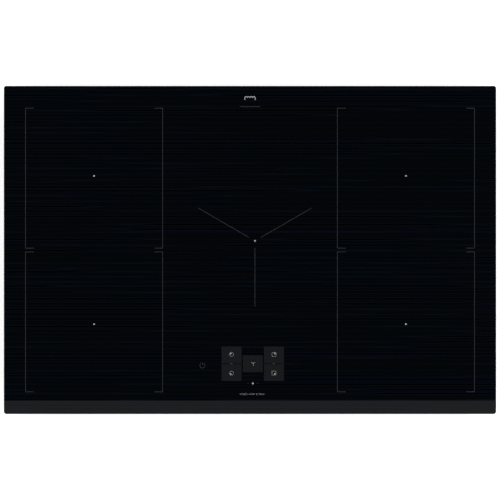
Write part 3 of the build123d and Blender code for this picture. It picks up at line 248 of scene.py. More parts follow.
# record slot to material; the names say what each surface really is
finishes = {
    "black_glass_ceramic": makeGlassCeramic(),
    "galvanised_steel": makeGalvanised(),
    "circuit_board": makeCircuitBoard(),
    "litz_copper": makeLitz(),
    "silicone_sleeve": makeSleeve(),
    # screen-printed enamel fired into the glass: nearly as glossy as the glass, with a faint speckle
    "decor_enamel": grained("greyDecorEnamel", "#313335", "#343638", 0.2, 0.3, 0.002, spread=0.03),
    "key_enamel": grained("darkKeyEnamel", "#121518", "#14171a", 0.2, 0.3, 0.002, spread=0.03),
    "symbol_enamel": grained("paleSymbolEnamel", "#aaacad", "#b0b2b3", 0.2, 0.3, 0.002, spread=0.03),
    # closed-cell rubber foam: black, dull, with open cut cells of under half a millimetre
    "foam_seal": grained("closedCellFoam", "#0c0c0d", "#161617", 0.85, 0.5, 0.15),
    # cured silicone: black, slightly glossy, smooth
    "silicone": grained("curedSilicone", "#101011", "#141415", 0.4, 3.0, 0.02),
    # powder coat: black with the orange peel of the baked powder
    "black_painted_steel": grained("blackPowderCoat", "#121213", "#18181a", 0.42, 0.9, 0.03),
    # zinc plating with a clear passivation: bright, a little blue
    "zinc_plated_steel": grained("zincPlatedSteel", "#9aa1a8", "#b4b9bd", 0.28, 2.0, 0.004, metallic=1.0),
    # rolled stainless strip: bright grey with fine lines along its width
    "spring_steel": brushed("stainlessSpringStrip", "#8b8c8d", "#b1b2b3", 0.3, 0.25, 0.004, (1.0, 0.02, 1.0)),
    # aluminium from the extrusion die, left bare: light grey with die lines along the fins
    "extruded_aluminium": brushed(
        "extrudedAluminium", "#a4a7a9", "#c2c4c6", 0.38, 0.6, 0.01, (1.0, 0.02, 1.0)
    ),
    # mill-finish aluminium sheet: pale and softly streaked in the rolling direction
    "deck_aluminium": brushed("millFinishAluminium", "#aeb1b3", "#c9cbcc", 0.34, 0.9, 0.006),
    # drawn copper wire under clear enamel: warm red-brown and glossy
    "enamelled_copper": brushed(
        "enamelledCopperWire", "#8f4a26", "#c87847", 0.3, 0.8, 0.05, (1.0, 1.0, 0.02)
    ),
    # turned brass: yellow, bright, nearly smooth
    "brass_screw": grained("turnedBrass", "#a8853f", "#c7a35a", 0.28, 1.2, 0.006, metallic=1.0),
    # sintered ferrite: nearly black, dull, with a powdery grain
    "ferrite": grained("sinteredFerrite", "#242628", "#303234", 0.7, 0.5, 0.03),
    # pressed mica flakes: cloudy beige, dull, with slow changes of tone
    "mica_laminate": grained("micaLaminate", "#a59a84", "#c3b9a3", 0.6, 4.0, 0.03),
    # pressed glass-fibre board: straw-coloured, with the faint grain of its fibres
    "former_laminate": grained("glassFibreLaminate", "#a89c76", "#bdb28e", 0.55, 1.5, 0.03),
    # moulded nylon in its natural colour: milky white with a soft sheen
    "white_nylon": grained("naturalNylon", "#d6d4c8", "#e2e0d6", 0.5, 0.7, 0.01),
    "terminal_nylon": grained("terminalNylon", "#cfcdbf", "#dad8cc", 0.45, 0.7, 0.01),
    # glass-filled nylon from a spark-eroded mould: black with a fine matt texture
    "black_nylon": grained("blackGlassFilledNylon", "#131314", "#19191a", 0.5, 0.45, 0.03),
    # moulded polyester: black housing and dark grey wheel, half matt
    "fan_plastic": grained("blackMouldedPolyester", "#17181a", "#1d1e20", 0.45, 0.6, 0.02),
    "impeller_plastic": grained("greyMouldedPolyester", "#2b2c2f", "#323336", 0.42, 0.6, 0.02),
    # transfer-moulded epoxy of power parts: black, fine and matt
    "black_epoxy": grained("mouldedEpoxy", "#141414", "#1b1b1b", 0.55, 0.25, 0.015),
    # polyester cases of film capacitors: grey, or yellow for the suppressors, with smooth flat faces
    "capacitor_case": grained("greyPolyesterCase", "#5d6064", "#676a6e", 0.4, 0.8, 0.01),
    "suppressor_case": grained("yellowPolyesterCase", "#c49a16", "#cfa625", 0.38, 0.8, 0.01),
    # moulded relay cover: black, smoother and glossier than the epoxy
    "relay_case": grained("blackRelayCover", "#1a1b1c", "#202122", 0.3, 1.2, 0.006),
    # moulded display housing: pale grey, slightly glossy
    "display_case": grained("displayHousing", "#c8c9c4", "#d4d5d0", 0.35, 1.0, 0.006),
    # fired steatite: cream, smooth, slightly glossy
    "sensor_ceramic": grained("steatiteCeramic", "#d8d3c4", "#e3dfd2", 0.3, 0.8, 0.006),
}
for nodeName, item in frame["nodes"].items():
    item.data.materials.clear()
    item.data.materials.append(finishes[slotOf[nodeName]])
print("materials:", len(finishes))


# edges of the CAD pieces

def soften(nodeName, widthMm, segments=2, angle=30):
    # a real edge is never sharp: its loose triangles are joined, flat areas cleaned, and the edge rounded
    item = frame["nodes"][nodeName]
    weld = item.modifiers.new("weld", "WELD")
    weld.merge_threshold = 0.002 * mm
    flat = item.modifiers.new("flat", "DECIMATE")
    flat.decimate_type = "DISSOLVE"
    flat.angle_limit = math.radians(0.5)
    edge = item.modifiers.new("edge", "BEVEL")
    edge.width = widthMm * mm
    edge.segments = segments
    edge.limit_method = "ANGLE"
    edge.angle_limit = math.radians(angle)
    edge.harden_normals = False


edgeWidths = {"glass_ceramic_panel": 0.25, "terminal_cover": 0.25, "clip_holders": 0.3}
for nodeName, width in edgeWidths.items():
    soften(nodeName, width)


# making pieces

def finishPiece(item, body, slotName, stands=()):
    # gives a piece its finish, its body and the CAD nodes that it stands for
    item.data.materials.clear()
    item.data.materials.append(finishes[slotName])
    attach(item, body)
    for nodeName in stands:
        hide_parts(nodeName)
    return item


def meshFrom(name, points, faces):
    # points in millimetres; doubles merged and faces turned outwards
    shape = bmesh.new()
    corners = [shape.verts.new(Vector(point) * mm) for point in points]
    for face in faces:
        shape.faces.new([corners[k] for k in face])
    bmesh.ops.remove_doubles(shape, verts=shape.verts, dist=1e-7)
    bmesh.ops.recalc_face_normals(shape, faces=shape.faces)
    made = bpy.data.meshes.new(name)
    shape.to_mesh(made)
    shape.free()
    return made


def addItem(name, mesh):
    item = bpy.data.objects.new(name, mesh)
    bpy.context.collection.objects.link(item)
    return item


def lathe(name, profile, steps, closed=False):
    # profile of (radius, height) turned round Z; a closed profile makes a ring
    points, rings = [], []
    for radius, height in profile:
        if radius == 0:
            rings.append([len(points)] * steps)
            points.append((0, 0, height))
            continue
        rings.append(list(range(len(points), len(points) + steps)))
        for k in range(steps):
            turn = 2 * math.pi * k / steps
            points.append((radius * math.cos(turn), radius * math.sin(turn), height))
    pairs = list(zip(rings, rings[1:] + rings[:1])) if closed else list(zip(rings, rings[1:]))
    faces = []
    for low, high in pairs:
        for k in range(steps):
            corners = [low[k], low[(k + 1) % steps], high[(k + 1) % steps], high[k]]
            faces.append(list(dict.fromkeys(corners)))
    return meshFrom(name, points, faces)


def flatPrint(name, loops, low, high):
    # flat outlines in millimetres, holes inside them left open, raised between two levels
    drawing = bpy.data.curves.new(name, "CURVE")
    drawing.dimensions = "2D"
    drawing.fill_mode = "BOTH"
    drawing.extrude = (high - low) / 2 * mm
    for loop in loops:
        line = drawing.splines.new("POLY")
        line.points.add(len(loop) - 1)
        for point, (x, y) in zip(line.points, loop):
            point.co = (x * mm, y * mm, 0, 1)
        line.use_cyclic_u = True
    source = addItem(name, drawing)
    made = bpy.data.meshes.new_from_object(source.evaluated_get(bpy.context.evaluated_depsgraph_get()))
    bpy.data.objects.remove(source)
    made.transform(Matrix.Translation((0, 0, (low + high) / 2 * mm)))
    shape = bmesh.new()
    shape.from_mesh(made)
    bmesh.ops.remove_doubles(shape, verts=shape.verts, dist=1e-7)
    bmesh.ops.recalc_face_normals(shape, faces=shape.faces)
    shape.to_mesh(made)
    shape.free()
    return made


def repeatTree():
    # copies one piece to every point of a mesh, turned as the point's attribute "turn" says
    tree = bpy.data.node_groups.new("repeatPiece", "GeometryNodeTree")
    face = tree.interface
    face.new_socket("Geometry", in_out="OUTPUT", socket_type="NodeSocketGeometry")
    face.new_socket("Spots", in_out="INPUT", socket_type="NodeSocketGeometry")
    face.new_socket("Piece", in_out="INPUT", socket_type="NodeSocketObject")
    face.new_socket("Size", in_out="INPUT", socket_type="NodeSocketFloat")
    face.new_socket("Finish", in_out="INPUT", socket_type="NodeSocketMaterial")
    given = addNode(tree, "NodeGroupInput").outputs
    piece = addNode(tree, "GeometryNodeObjectInfo", links={"Object": given["Piece"]})
    turn = addNode(
        tree, "GeometryNodeInputNamedAttribute", settings={"data_type": "FLOAT_VECTOR"},
        values={"Name": "turn"}
    )
    copies = addNode(
        tree, "GeometryNodeInstanceOnPoints",
        links={"Points": given["Spots"], "Instance": piece.outputs["Geometry"],
               "Rotation": turn.outputs["Attribute"], "Scale": given["Size"]}
    )
    real = addNode(tree, "GeometryNodeRealizeInstances", links={"Geometry": copies.outputs["Instances"]})
    painted = addNode(
        tree, "GeometryNodeSetMaterial",
        links={"Geometry": real.outputs["Geometry"], "Material": given["Finish"]}
    )
    addNode(tree, "NodeGroupOutput", links={"Geometry": painted.outputs["Geometry"]})
    return tree


def runTree(name, tree, inputs, mesh=None):
    # runs a node tree once and keeps its result as a plain mesh
    item = addItem(name, mesh or bpy.data.meshes.new(name))
    step = item.modifiers.new("nodes", "NODES")
    step.node_group = tree
    sockets = {s.name: s.identifier for s in tree.interface.items_tree if s.item_type == "SOCKET"}
    for key, value in inputs.items():
        step[sockets[key]] = value
    result = bpy.data.meshes.new_from_object(item.evaluated_get(bpy.context.evaluated_depsgraph_get()))
    result.name = name
    item.modifiers.remove(step)
    item.data = result
    return item


pieceCopier = repeatTree()


def repeat(name, mesh, spots, slotName, size=1.0):
    # spots: (place in millimetres, turn about X, Y and Z in degrees)
    marks = bpy.data.meshes.new(name + "Spots")
    marks.from_pydata([Vector(place) * mm for place, turn in spots], [], [])
    turns = marks.attributes.new("turn", "FLOAT_VECTOR", "POINT")
    for entry, (place, turn) in zip(turns.data, spots):
        entry.vector = [math.radians(angle) for angle in turn]
    pattern = addItem(name + "Pattern", mesh)
    inputs = {"Piece": pattern, "Size": size, "Finish": finishes[slotName]}
    made = runTree(name, pieceCopier, inputs, marks)
    bpy.data.objects.remove(pattern)
    return made


# printed decor on the glass

def ring(x, y, radius, steps=48):
    return [(x + radius * math.cos(2 * math.pi * k / steps), y + radius * math.sin(2 * math.pi * k / steps))
            for k in range(steps)]


def block(x, y, width, depth, turn=0.0):
    # a rectangle about its middle
    across = Vector((math.cos(turn), math.sin(turn)))
    along = Vector((-math.sin(turn), math.cos(turn)))
    signs = ((-1, -1), (1, -1), (1, 1), (-1, 1))
    return [tuple(Vector((x, y)) + across * (width / 2 * a) + along * (depth / 2 * b)) for a, b in signs]


def roundBlock(x, y, width, depth, corner, steps=6):
    points = []
    for k, (a, b) in enumerate(((1, 1), (-1, 1), (-1, -1), (1, -1))):
        for step in range(steps + 1):
            angle = math.pi / 2 * (k + step / steps)
            points.append((x + a * (width / 2 - corner) + corner * math.cos(angle),
                           y + b * (depth / 2 - corner) + corner * math.sin(angle)))
    return points


def arcBand(x, y, radius, width, start, end, steps=24):
    # a stroke of even width along an arc, angles in degrees
    angles = [math.radians(start + (end - start) * k / steps) for k in range(steps + 1)]
    outer = [(x + (radius + width / 2) * math.cos(a), y + (radius + width / 2) * math.sin(a)) for a in angles]
    inner = [(x + (radius - width / 2) * math.cos(a), y + (radius - width / 2) * math.sin(a)) for a in angles]
    return outer + inner[::-1]


glassTop = boxOf("glass_ceramic_panel")[1].z
printThick = 0.1
zonePrint = {
    "line": 0.8,          # mm, width of the printed lines
    "width": 218.0,       # of one corner zone, over its lines
    "gap": 5.2,           # between the front and the rear zone
    "end": 13.5,          # length of a bracket's short ends
    "dot": 1.32,          # radius of a zone's middle dot
    "dotLift": 117.4,     # from the middle of the glass to the corner zones' dots
    "armFrom": 11.0,
    "armTo": 104.0,
    "centre": (7.8, 14.6),
}
marksHigh = boxOf("zone_markings")[1]
zoneX = marksHigh.x - zonePrint["width"] / 2
zoneDepth = marksHigh.y - zonePrint["gap"] / 2
zoneY = (marksHigh.y + zonePrint["gap"] / 2) / 2


def bracketOutline():
    # one bracket, open to the right, about the middle of its zone
    left = -zonePrint["width"] / 2
    right = left + zonePrint["end"]
    top = zoneDepth / 2
    line = zonePrint["line"]
    return [(right, -top), (right, line - top), (left + line, line - top), (left + line, top - line),
            (right, top - line), (right, top), (left, top), (left, -top)]


zoneSpots = [(x, y) for x in (-zoneX, zoneX) for y in (-zoneY, zoneY)]
bracket = flatPrint("bracket", [bracketOutline()], glassTop, glassTop + printThick)
bracketSpots = [((x, y, 0), (0, 0, turn)) for x, y in zoneSpots for turn in (0, 180)]
brackets = repeat("zoneBrackets", bracket, bracketSpots, "decor_enamel")
finishPiece(brackets, "casing", "decor_enamel", ["zone_markings"])

centreX, centreY = zonePrint["centre"]
armMiddle = (zonePrint["armFrom"] + zonePrint["armTo"]) / 2
armLoops = []
for heading in (-90, 30, 150):
    turn = math.radians(heading)
    spot = (centreX + armMiddle * math.cos(turn), centreY + armMiddle * math.sin(turn))
    armLoops.append(block(*spot, zonePrint["armTo"] - zonePrint["armFrom"], zonePrint["line"], turn))
arms = addItem("centreZoneArms", flatPrint("centreZoneArms", armLoops, glassTop, glassTop + printThick))
finishPiece(arms, "casing", "decor_enamel", ["zone_markings"])

dotSpots = [(x, math.copysign(zonePrint["dotLift"], y)) for x, y in zoneSpots] + [zonePrint["centre"]]
dot = flatPrint("dot", [ring(0, 0, zonePrint["dot"])], glassTop, glassTop + printThick)
dots = repeat("zoneDots", dot, [((x, y, 0), (0, 0, 0)) for x, y in dotSpots], "symbol_enamel")
finishPiece(dots, "casing", "symbol_enamel", ["zone_markings"])

keyPrint = {
    "sideGap": 2.0,      # mm between two columns of keys
    "gap": 1.0,          # between the front and the rear key
    "corner": 0.5,
    "iconLift": 14.8,    # from the middle of the keys to the outer icons
    "iconSize": 6.6,
    "stroke": 0.3,
    "spot": 1.15,
    "spotAway": 0.42,    # share of half an icon
    "iconCorner": 0.8,
    "lampDrop": 31.2,
    "lamp": 1.45,
    "powerX": -75.3,
    "powerRadius": 4.1,
    "powerDrop": 2.6,
    "powerLine": 0.7,
    "powerBar": 4.4,
    "link": (3.2, 0.2),  # the dash between the front and the rear key
    "linkAside": 0.4,
    "strokeApart": 7.4,
    "strokeRise": 0.6,
    "strokeSize": (1.9, 0.45),
}
keysLow, keysHigh = boxOf("key_fields")
keyWidth = (keysHigh.x - keysLow.x - 2 * keyPrint["sideGap"]) / 3
keyDepth = (keysHigh.y - keysLow.y - keyPrint["gap"]) / 2
keysX = (keysLow.x + keysHigh.x) / 2
keysY = (keysLow.y + keysHigh.y) / 2
columnStep = keyWidth + keyPrint["sideGap"]
rowStep = (keyDepth + keyPrint["gap"]) / 2

keyLoops = [roundBlock(keysX, keysY, keyWidth, keyDepth, keyPrint["corner"])]
for side in (-1, 1):
    for row in (-1, 1):
        spot = (keysX + side * columnStep, keysY + row * rowStep)
        keyLoops.append(roundBlock(*spot, keyWidth, keyDepth, keyPrint["corner"]))
keys = addItem("keyFields", flatPrint("keyFields", keyLoops, glassTop, glassTop + printThick))
finishPiece(keys, "casing", "key_enamel", ["key_fields"])

# outer icons: a round or square outline with the chosen corner filled
half = keyPrint["iconSize"] / 2
stroke = keyPrint["stroke"]
iconLoops, spotLoops = [], []
for row in (-1, 1):
    iconY = keysY + row * keyPrint["iconLift"]
    leftX, rightX = keysX - columnStep, keysX + columnStep
    iconLoops += [ring(leftX, iconY, half), ring(leftX, iconY, half - stroke)]
    inner = 2 * (half - stroke)
    iconLoops += [roundBlock(rightX, iconY, 2 * half, 2 * half, keyPrint["iconCorner"])]
    iconLoops += [roundBlock(rightX, iconY, inner, inner, keyPrint["iconCorner"] / 2)]
    spotAway = half * keyPrint["spotAway"]
    spotLoops.append(ring(leftX - spotAway, iconY + row * spotAway, keyPrint["spot"]))
    spotLoops.append(ring(rightX + spotAway, iconY + row * spotAway, keyPrint["spot"]))
iconTop = glassTop + 2 * printThick
outlines = addItem("keyIconOutlines", flatPrint("keyIconOutlines", iconLoops, glassTop + printThick, iconTop))
finishPiece(outlines, "casing", "symbol_enamel", ["key_icons"])
spots = addItem("keyIconSpots", flatPrint("keyIconSpots", spotLoops, glassTop + printThick, iconTop))
finishPiece(spots, "casing", "symbol_enamel", ["key_icons"])

# the centre zone's sign on the middle key: the same three arms, with a dot where they meet
middleSign = {"arm": 2.9, "armWidth": 0.4, "armFrom": 0.9, "dot": 0.7, "aside": (0.8, 0.6)}
signX, signY = keysX + middleSign["aside"][0], keysY + middleSign["aside"][1]
signLoops = [ring(signX, signY, middleSign["dot"])]
for heading in (-90, 30, 150):
    turn = math.radians(heading)
    away = middleSign["armFrom"] + middleSign["arm"] / 2
    spot = (signX + away * math.cos(turn), signY + away * math.sin(turn))
    signLoops.append(block(*spot, middleSign["arm"], middleSign["armWidth"], turn))
centreSign = addItem("middleKeySign", flatPrint("middleKeySign", signLoops, glassTop + printThick, iconTop))
finishPiece(centreSign, "casing", "symbol_enamel", ["key_icons"])

# on the bare glass: power sign in grey; indicator lamp, and a short dash between the front and the rear key
powerY = keysY - keyPrint["powerDrop"]
powerLine = keyPrint["powerLine"]
powerLoops = [arcBand(keyPrint["powerX"], powerY, keyPrint["powerRadius"], powerLine, 125, 415, 40)]
barY = powerY + 0.62 * keyPrint["powerRadius"]
powerLoops.append(block(keyPrint["powerX"], barY, powerLine, keyPrint["powerBar"]))
powerSign = addItem("powerSign", flatPrint("powerSign", powerLoops, glassTop, glassTop + printThick))
finishPiece(powerSign, "casing", "decor_enamel", ["key_icons"])
bareLoops = [ring(keysX, keysY - keyPrint["lampDrop"], keyPrint["lamp"])]
for side in (-1, 1):
    bareLoops.append(block(keysX + side * columnStep - keyPrint["linkAside"], keysY, *keyPrint["link"]))
bareSigns = addItem("glassSigns", flatPrint("glassSigns", bareLoops, glassTop, glassTop + printThick))
finishPiece(bareSigns, "casing", "symbol_enamel", ["key_icons"])

# a faint slanted stroke on either side of the lamp
strokeLoops = []
for side in (-1, 1):
    strokeX = keysX + side * keyPrint["strokeApart"]
    strokeY = keysY - keyPrint["lampDrop"] + keyPrint["strokeRise"]
    strokeLoops.append(block(strokeX, strokeY, *keyPrint["strokeSize"], side * math.pi / 4))
strokes = addItem("lampStrokes", flatPrint("lampStrokes", strokeLoops, glassTop, glassTop + printThick))
finishPiece(strokes, "casing", "decor_enamel", ["key_icons"])

# a plain graduated scale near the front edge, in four groups of ticks
scalePrint = {
    "startX": -15.6,
    "y": -228.2,
    "pitch": 1.37,
    "tick": (0.2, 2.5),      # width and height of a tick in millimetres
    "groups": (9, 7, 3, 6),
    "groupGap": 1.6,
}
tick = flatPrint("tick", [block(0, 0, *scalePrint["tick"])], glassTop, glassTop + printThick)
tickSpots = []
x = scalePrint["startX"]
for count in scalePrint["groups"]:
    for k in range(count):
        tickSpots.append(((x, scalePrint["y"], 0), (0, 0, 0)))
        x += scalePrint["pitch"]
    x += scalePrint["groupGap"]
scale = repeat("frontScaleTicks", tick, tickSpots, "symbol_enamel")
finishPiece(scale, "casing", "symbol_enamel")

# a coil sign at the rear edge, as in a circuit diagram, over a row of dashes
coilSign = {
    "y": 241.0,
    "humps": 4,
    "radius": 2.05,
    "stroke": 1.1,
    "lead": 3.4,
    "dashY": 227.2,
    "dash": (1.7, 1.3),
    "dashPitch": 2.75,
    "dashes": 12,
    "steps": 12,           # straight pieces in one hump
}
humpFirst = -(coilSign["humps"] - 1) * coilSign["radius"]
signWidth = 2 * coilSign["humps"] * coilSign["radius"]
outerRadius = coilSign["radius"] + coilSign["stroke"] / 2
innerRadius = coilSign["radius"] - coilSign["stroke"] / 2
reachAngle = math.acos(coilSign["radius"] / outerRadius)
topPoints, lowPoints = [], []
for k in range(coilSign["humps"]):
    humpX = humpFirst + 2 * coilSign["radius"] * k
    start = math.pi if k == 0 else math.pi - reachAngle
    end = 0.0 if k == coilSign["humps"] - 1 else reachAngle
    for step in range(coilSign["steps"] + 1):
        angle = start + (end - start) * step / coilSign["steps"]
        across, up = math.cos(angle), math.sin(angle)
        topPoints.append((humpX + outerRadius * across, coilSign["y"] + outerRadius * up))
    for step in range(coilSign["steps"] + 1):
        angle = math.pi * (1 - step / coilSign["steps"])
        across, up = math.cos(angle), math.sin(angle)
        lowPoints.append((humpX + innerRadius * across, coilSign["y"] + innerRadius * up))
foot = coilSign["y"] - coilSign["lead"]
edge = signWidth / 2
leads = coilSign["stroke"] / 2
coilLoop = [(-edge - leads, foot)] + topPoints + [(edge + leads, foot), (edge - leads, foot)]
coilLoop += lowPoints[::-1] + [(leads - edge, foot)]
rearSign = addItem("rearCoilSign", flatPrint("rearCoilSign", [coilLoop], glassTop, glassTop + printThick))
finishPiece(rearSign, "casing", "symbol_enamel")
dash = flatPrint("dash", [block(0, 0, *coilSign["dash"])], glassTop, glassTop + printThick)
dashFirst = -(coilSign["dashes"] - 1) / 2 * coilSign["dashPitch"]
dashSpots = []
for k in range(coilSign["dashes"]):
    dashSpots.append(((dashFirst + k * coilSign["dashPitch"], coilSign["dashY"], 0), (0, 0, 0)))
dashes = repeat("rearDashes", dash, dashSpots, "decor_enamel")
finishPiece(dashes, "casing", "decor_enamel")
print("printed decor ready")


# casing screws

screw = {
    "head": 3.75,          # radius, mm
    "headHeight": 1.8,
    "shank": 1.75,
    "length": 6.5,
    "tipLength": 1.1,
    "threadPitch": 1.1,
    "threadDepth": 0.35,
    "neckCut": 0.2,
    "rim": 0.4,
    "edge": 0.15,
    "recess": 4.4,         # across the cross recess
    "recessWidth": 1.15,
    "recessFloor": 0.7,    # above the seat
    "recessTaper": 0.55,
    "recessOver": 0.6,     # how far the cutter stands above the head
    "longSide": 5,         # screws along the front and the rear
    "shortSide": 3,
    "endMargin": 60.0,     # from the end of a casing side to its first screw
}


def carve(mesh, cutter):
    # takes one mesh away from another
    body = addItem("carved", mesh)
    tool = addItem("cutter", cutter)
    step = body.modifiers.new("carve", "BOOLEAN")
    step.object = tool
    step.solver = "EXACT"
    made = bpy.data.meshes.new_from_object(body.evaluated_get(bpy.context.evaluated_depsgraph_get()))
    bpy.data.objects.remove(body)
    bpy.data.objects.remove(tool)
    return made


def makeScrew():
    # tip, thread, plain neck, then the rim and dome of the head
    tip, shank, head, rim = -screw["length"], screw["shank"], screw["head"], screw["rim"]
    neck = shank - screw["neckCut"]
    profile = [(0, tip), (0.6, tip + 0.3), (1.2, tip + 0.9)]
    height = tip + screw["tipLength"]
    while height < -screw["threadPitch"]:
        profile += [(shank - screw["threadDepth"], height), (shank, height + screw["threadPitch"] * 0.45)]
        height += screw["threadPitch"] * 0.6
    profile += [(neck, -rim), (neck, 0), (head - screw["edge"], 0), (head, screw["edge"])]
    for step in range(9):
        angle = math.radians(10 * step)
        profile.append((head * math.cos(angle), rim + (screw["headHeight"] - rim) * math.sin(angle)))
    profile.append((0, screw["headHeight"]))
    long = screw["recess"] / 2
    slim = screw["recessWidth"] / 2
    cross = [(long, -slim), (long, slim), (slim, slim), (slim, long), (-slim, long), (-slim, slim)]
    cross += [(-x, -y) for x, y in cross]
    taper = screw["recessTaper"]
    points = [(taper * x, taper * y, screw["recessFloor"]) for x, y in cross]
    points += [(x, y, screw["headHeight"] + screw["recessOver"]) for x, y in cross]
    count = len(cross)
    faces = [list(range(count))[::-1], list(range(count, 2 * count))]
    faces += [[k, (k + 1) % count, count + (k + 1) % count, count + k] for k in range(count)]
    return carve(lathe("screw", profile, 24), meshFrom("cross", points, faces))


screwLow, screwHigh = boxOf("casing_screws")
screwLevel = (screwLow.z + screwHigh.z) / 2
seatX = screwHigh.x - screw["headHeight"]
seatY = screwHigh.y - screw["headHeight"]


def spread(halfLength, count):
    step = 2 * (halfLength - screw["endMargin"]) / (count - 1)
    return [step * k - (halfLength - screw["endMargin"]) for k in range(count)]


screwSpots = []
for along in spread(seatX, screw["longSide"]):
    screwSpots.append(((along, -seatY, screwLevel), (90, 0, 0)))
    screwSpots.append(((along, seatY, screwLevel), (90, 0, 180)))
for along in spread(seatY, screw["shortSide"]):
    screwSpots.append(((seatX, along, screwLevel), (90, 0, 90)))
    screwSpots.append(((-seatX, along, screwLevel), (90, 0, 270)))
casingScrews = repeat("casingScrews", makeScrew(), screwSpots, "zinc_plated_steel")
finishPiece(casingScrews, "casing", "zinc_plated_steel", ["casing_screws"])
print("screws:", len(screwSpots))


# cable gland and terminal cover

gland = {
    "bore": 5.0,
    "neck": 7.5,
    "flange": 10.0,
    "thick": 2.0,
    "depth": 3.8,       # from the wall's face inwards
    "flutes": 24,
    "fluteDepth": 0.5,
}


def flutedRing():
    # gland body: a neck through the wall and a fluted flange, turned about Z
    shape = [(gland["bore"], -gland["depth"], 0), (gland["neck"], -gland["depth"], 0), (gland["neck"], 0, 0),
             (gland["flange"], 0, 1), (gland["flange"], gland["thick"] - 0.5, 1),
             (gland["flange"] - 0.7, gland["thick"], 0.4), (gland["neck"] - 0.6, gland["thick"], 0),
             (gland["bore"] + 0.5, gland["thick"] - 0.5, 0), (gland["bore"], gland["thick"] - 0.9, 0)]
    steps = gland["flutes"] * 8
    points, faces = [], []
    for radius, height, share in shape:
        for k in range(steps):
            turn = 2 * math.pi * k / steps
            cut = gland["fluteDepth"] * share * max(0.0, math.cos(gland["flutes"] * turn))
            points.append(((radius - cut) * math.cos(turn), (radius - cut) * math.sin(turn), height))
    for row in range(len(shape)):
        after = (row + 1) % len(shape)
        for k in range(steps):
            beside = (k + 1) % steps
            faces.append([row * steps + k, row * steps + beside, after * steps + beside, after * steps + k])
    return meshFrom("glandBody", points, faces)


def setInWall(mesh, x, z, wallY):
    # turns a piece made about Z so that it points backwards out of the rear wall
    facing = Euler((math.radians(90), 0, math.pi)).to_matrix().to_4x4()
    mesh.transform(Matrix.Translation(Vector((x, wallY, z)) * mm) @ facing)
    return mesh


glandLow, glandHigh = boxOf("cable_gland")
glandX = (glandLow.x + glandHigh.x) / 2
glandZ = (glandLow.z + glandHigh.z) / 2
wallY = glandHigh.y - gland["thick"]
glandBody = addItem("glandBody", setInWall(flutedRing(), glandX, glandZ, wallY))
finishPiece(glandBody, "casing", slotOf["cable_gland"], ["cable_gland"])
lip = [(4.3, 0.1), (5.1, -0.4), (5.1, 1.0), (4.5, 0.8)]
glandLip = addItem("glandSeal", setInWall(lathe("glandSeal", lip, 48, closed=True), glandX, glandZ, wallY))
finishPiece(glandLip, "casing", "silicone")

flap = {"ribs": 3, "ribLength": 78.0, "ribWidth": 1.0, "ribHeight": 0.35, "ribPitch": 3.6, "lowest": 8.0}
flapLow = boxOf("terminal_cover")[0]
ribLoop = roundBlock(0, 0, flap["ribLength"], flap["ribWidth"], 0.45)
rib = flatPrint("rib", [ribLoop], -0.2, flap["ribHeight"])
faceY = wallY - 0.1
ribLow = flapLow.z + flap["lowest"]
ribSpots = [((0, faceY, ribLow + k * flap["ribPitch"]), (90, 0, 180)) for k in range(flap["ribs"])]
flapRibs = repeat("coverRibs", rib, ribSpots, slotOf["terminal_cover"])
finishPiece(flapRibs, "terminal_flap", slotOf["terminal_cover"])
print("gland and cover ready")


# chokes: enamelled wire wound through ferrite rings

choke = {
    "coreInner": 8.0,
    "coreOuter": 15.0,
    "wire": 1.5,           # diameter, mm
    "corner": 1.4,         # radius of the wire's bend over the core's edge
    "turnsPerSide": 10,
    "sector": 148.0,       # degrees that one winding covers
}


def wireLoop(halfWidth, halfHeight, corner, wire, sides=8, steps=5):
    # one turn of wire round a rectangular section, in the XZ plane
    path = []
    for k, (a, b) in enumerate(((1, 1), (-1, 1), (-1, -1), (1, -1))):
        for step in range(steps + 1):
            angle = math.pi / 2 * (k + step / steps)
            out = Vector((math.cos(angle), 0, math.sin(angle)))
            middle = Vector((a * (halfWidth - corner), 0, b * (halfHeight - corner)))
            path.append((middle + out * corner, out))
    points, faces = [], []
    for middle, out in path:
        for k in range(sides):
            turn = 2 * math.pi * k / sides
            aside = Vector((0, wire / 2 * math.sin(turn), 0))
            points.append(middle + out * (wire / 2 * math.cos(turn)) + aside)
    for row in range(len(path)):
        after = (row + 1) % len(path)
        for k in range(sides):
            beside = (k + 1) % sides
            faces.append([row * sides + k, row * sides + beside, after * sides + beside, after * sides + k])
    return meshFrom("wireTurn", points, faces)


def solidMiddles(nodeName):
    # the middle of each separate solid of a CAD node, in millimetres
    shape = bmesh.new()
    shape.from_mesh(frame["nodes"][nodeName].data)
    bmesh.ops.remove_doubles(shape, verts=shape.verts, dist=1e-6)
    left, middles = set(shape.verts), []
    while left:
        group, queue = [], [left.pop()]
        while queue:
            corner = queue.pop()
            group.append(corner.co.copy())
            for edge in corner.link_edges:
                other = edge.other_vert(corner)
                if other in left:
                    left.discard(other)
                    queue.append(other)
        low = Vector([min(p[k] for p in group) for k in range(3)])
        high = Vector([max(p[k] for p in group) for k in range(3)])
        middles.append((low + high) / 2 / mm)
    shape.free()
    return sorted(middles, key=lambda p: (round(p.x, 2), round(p.y, 2)))


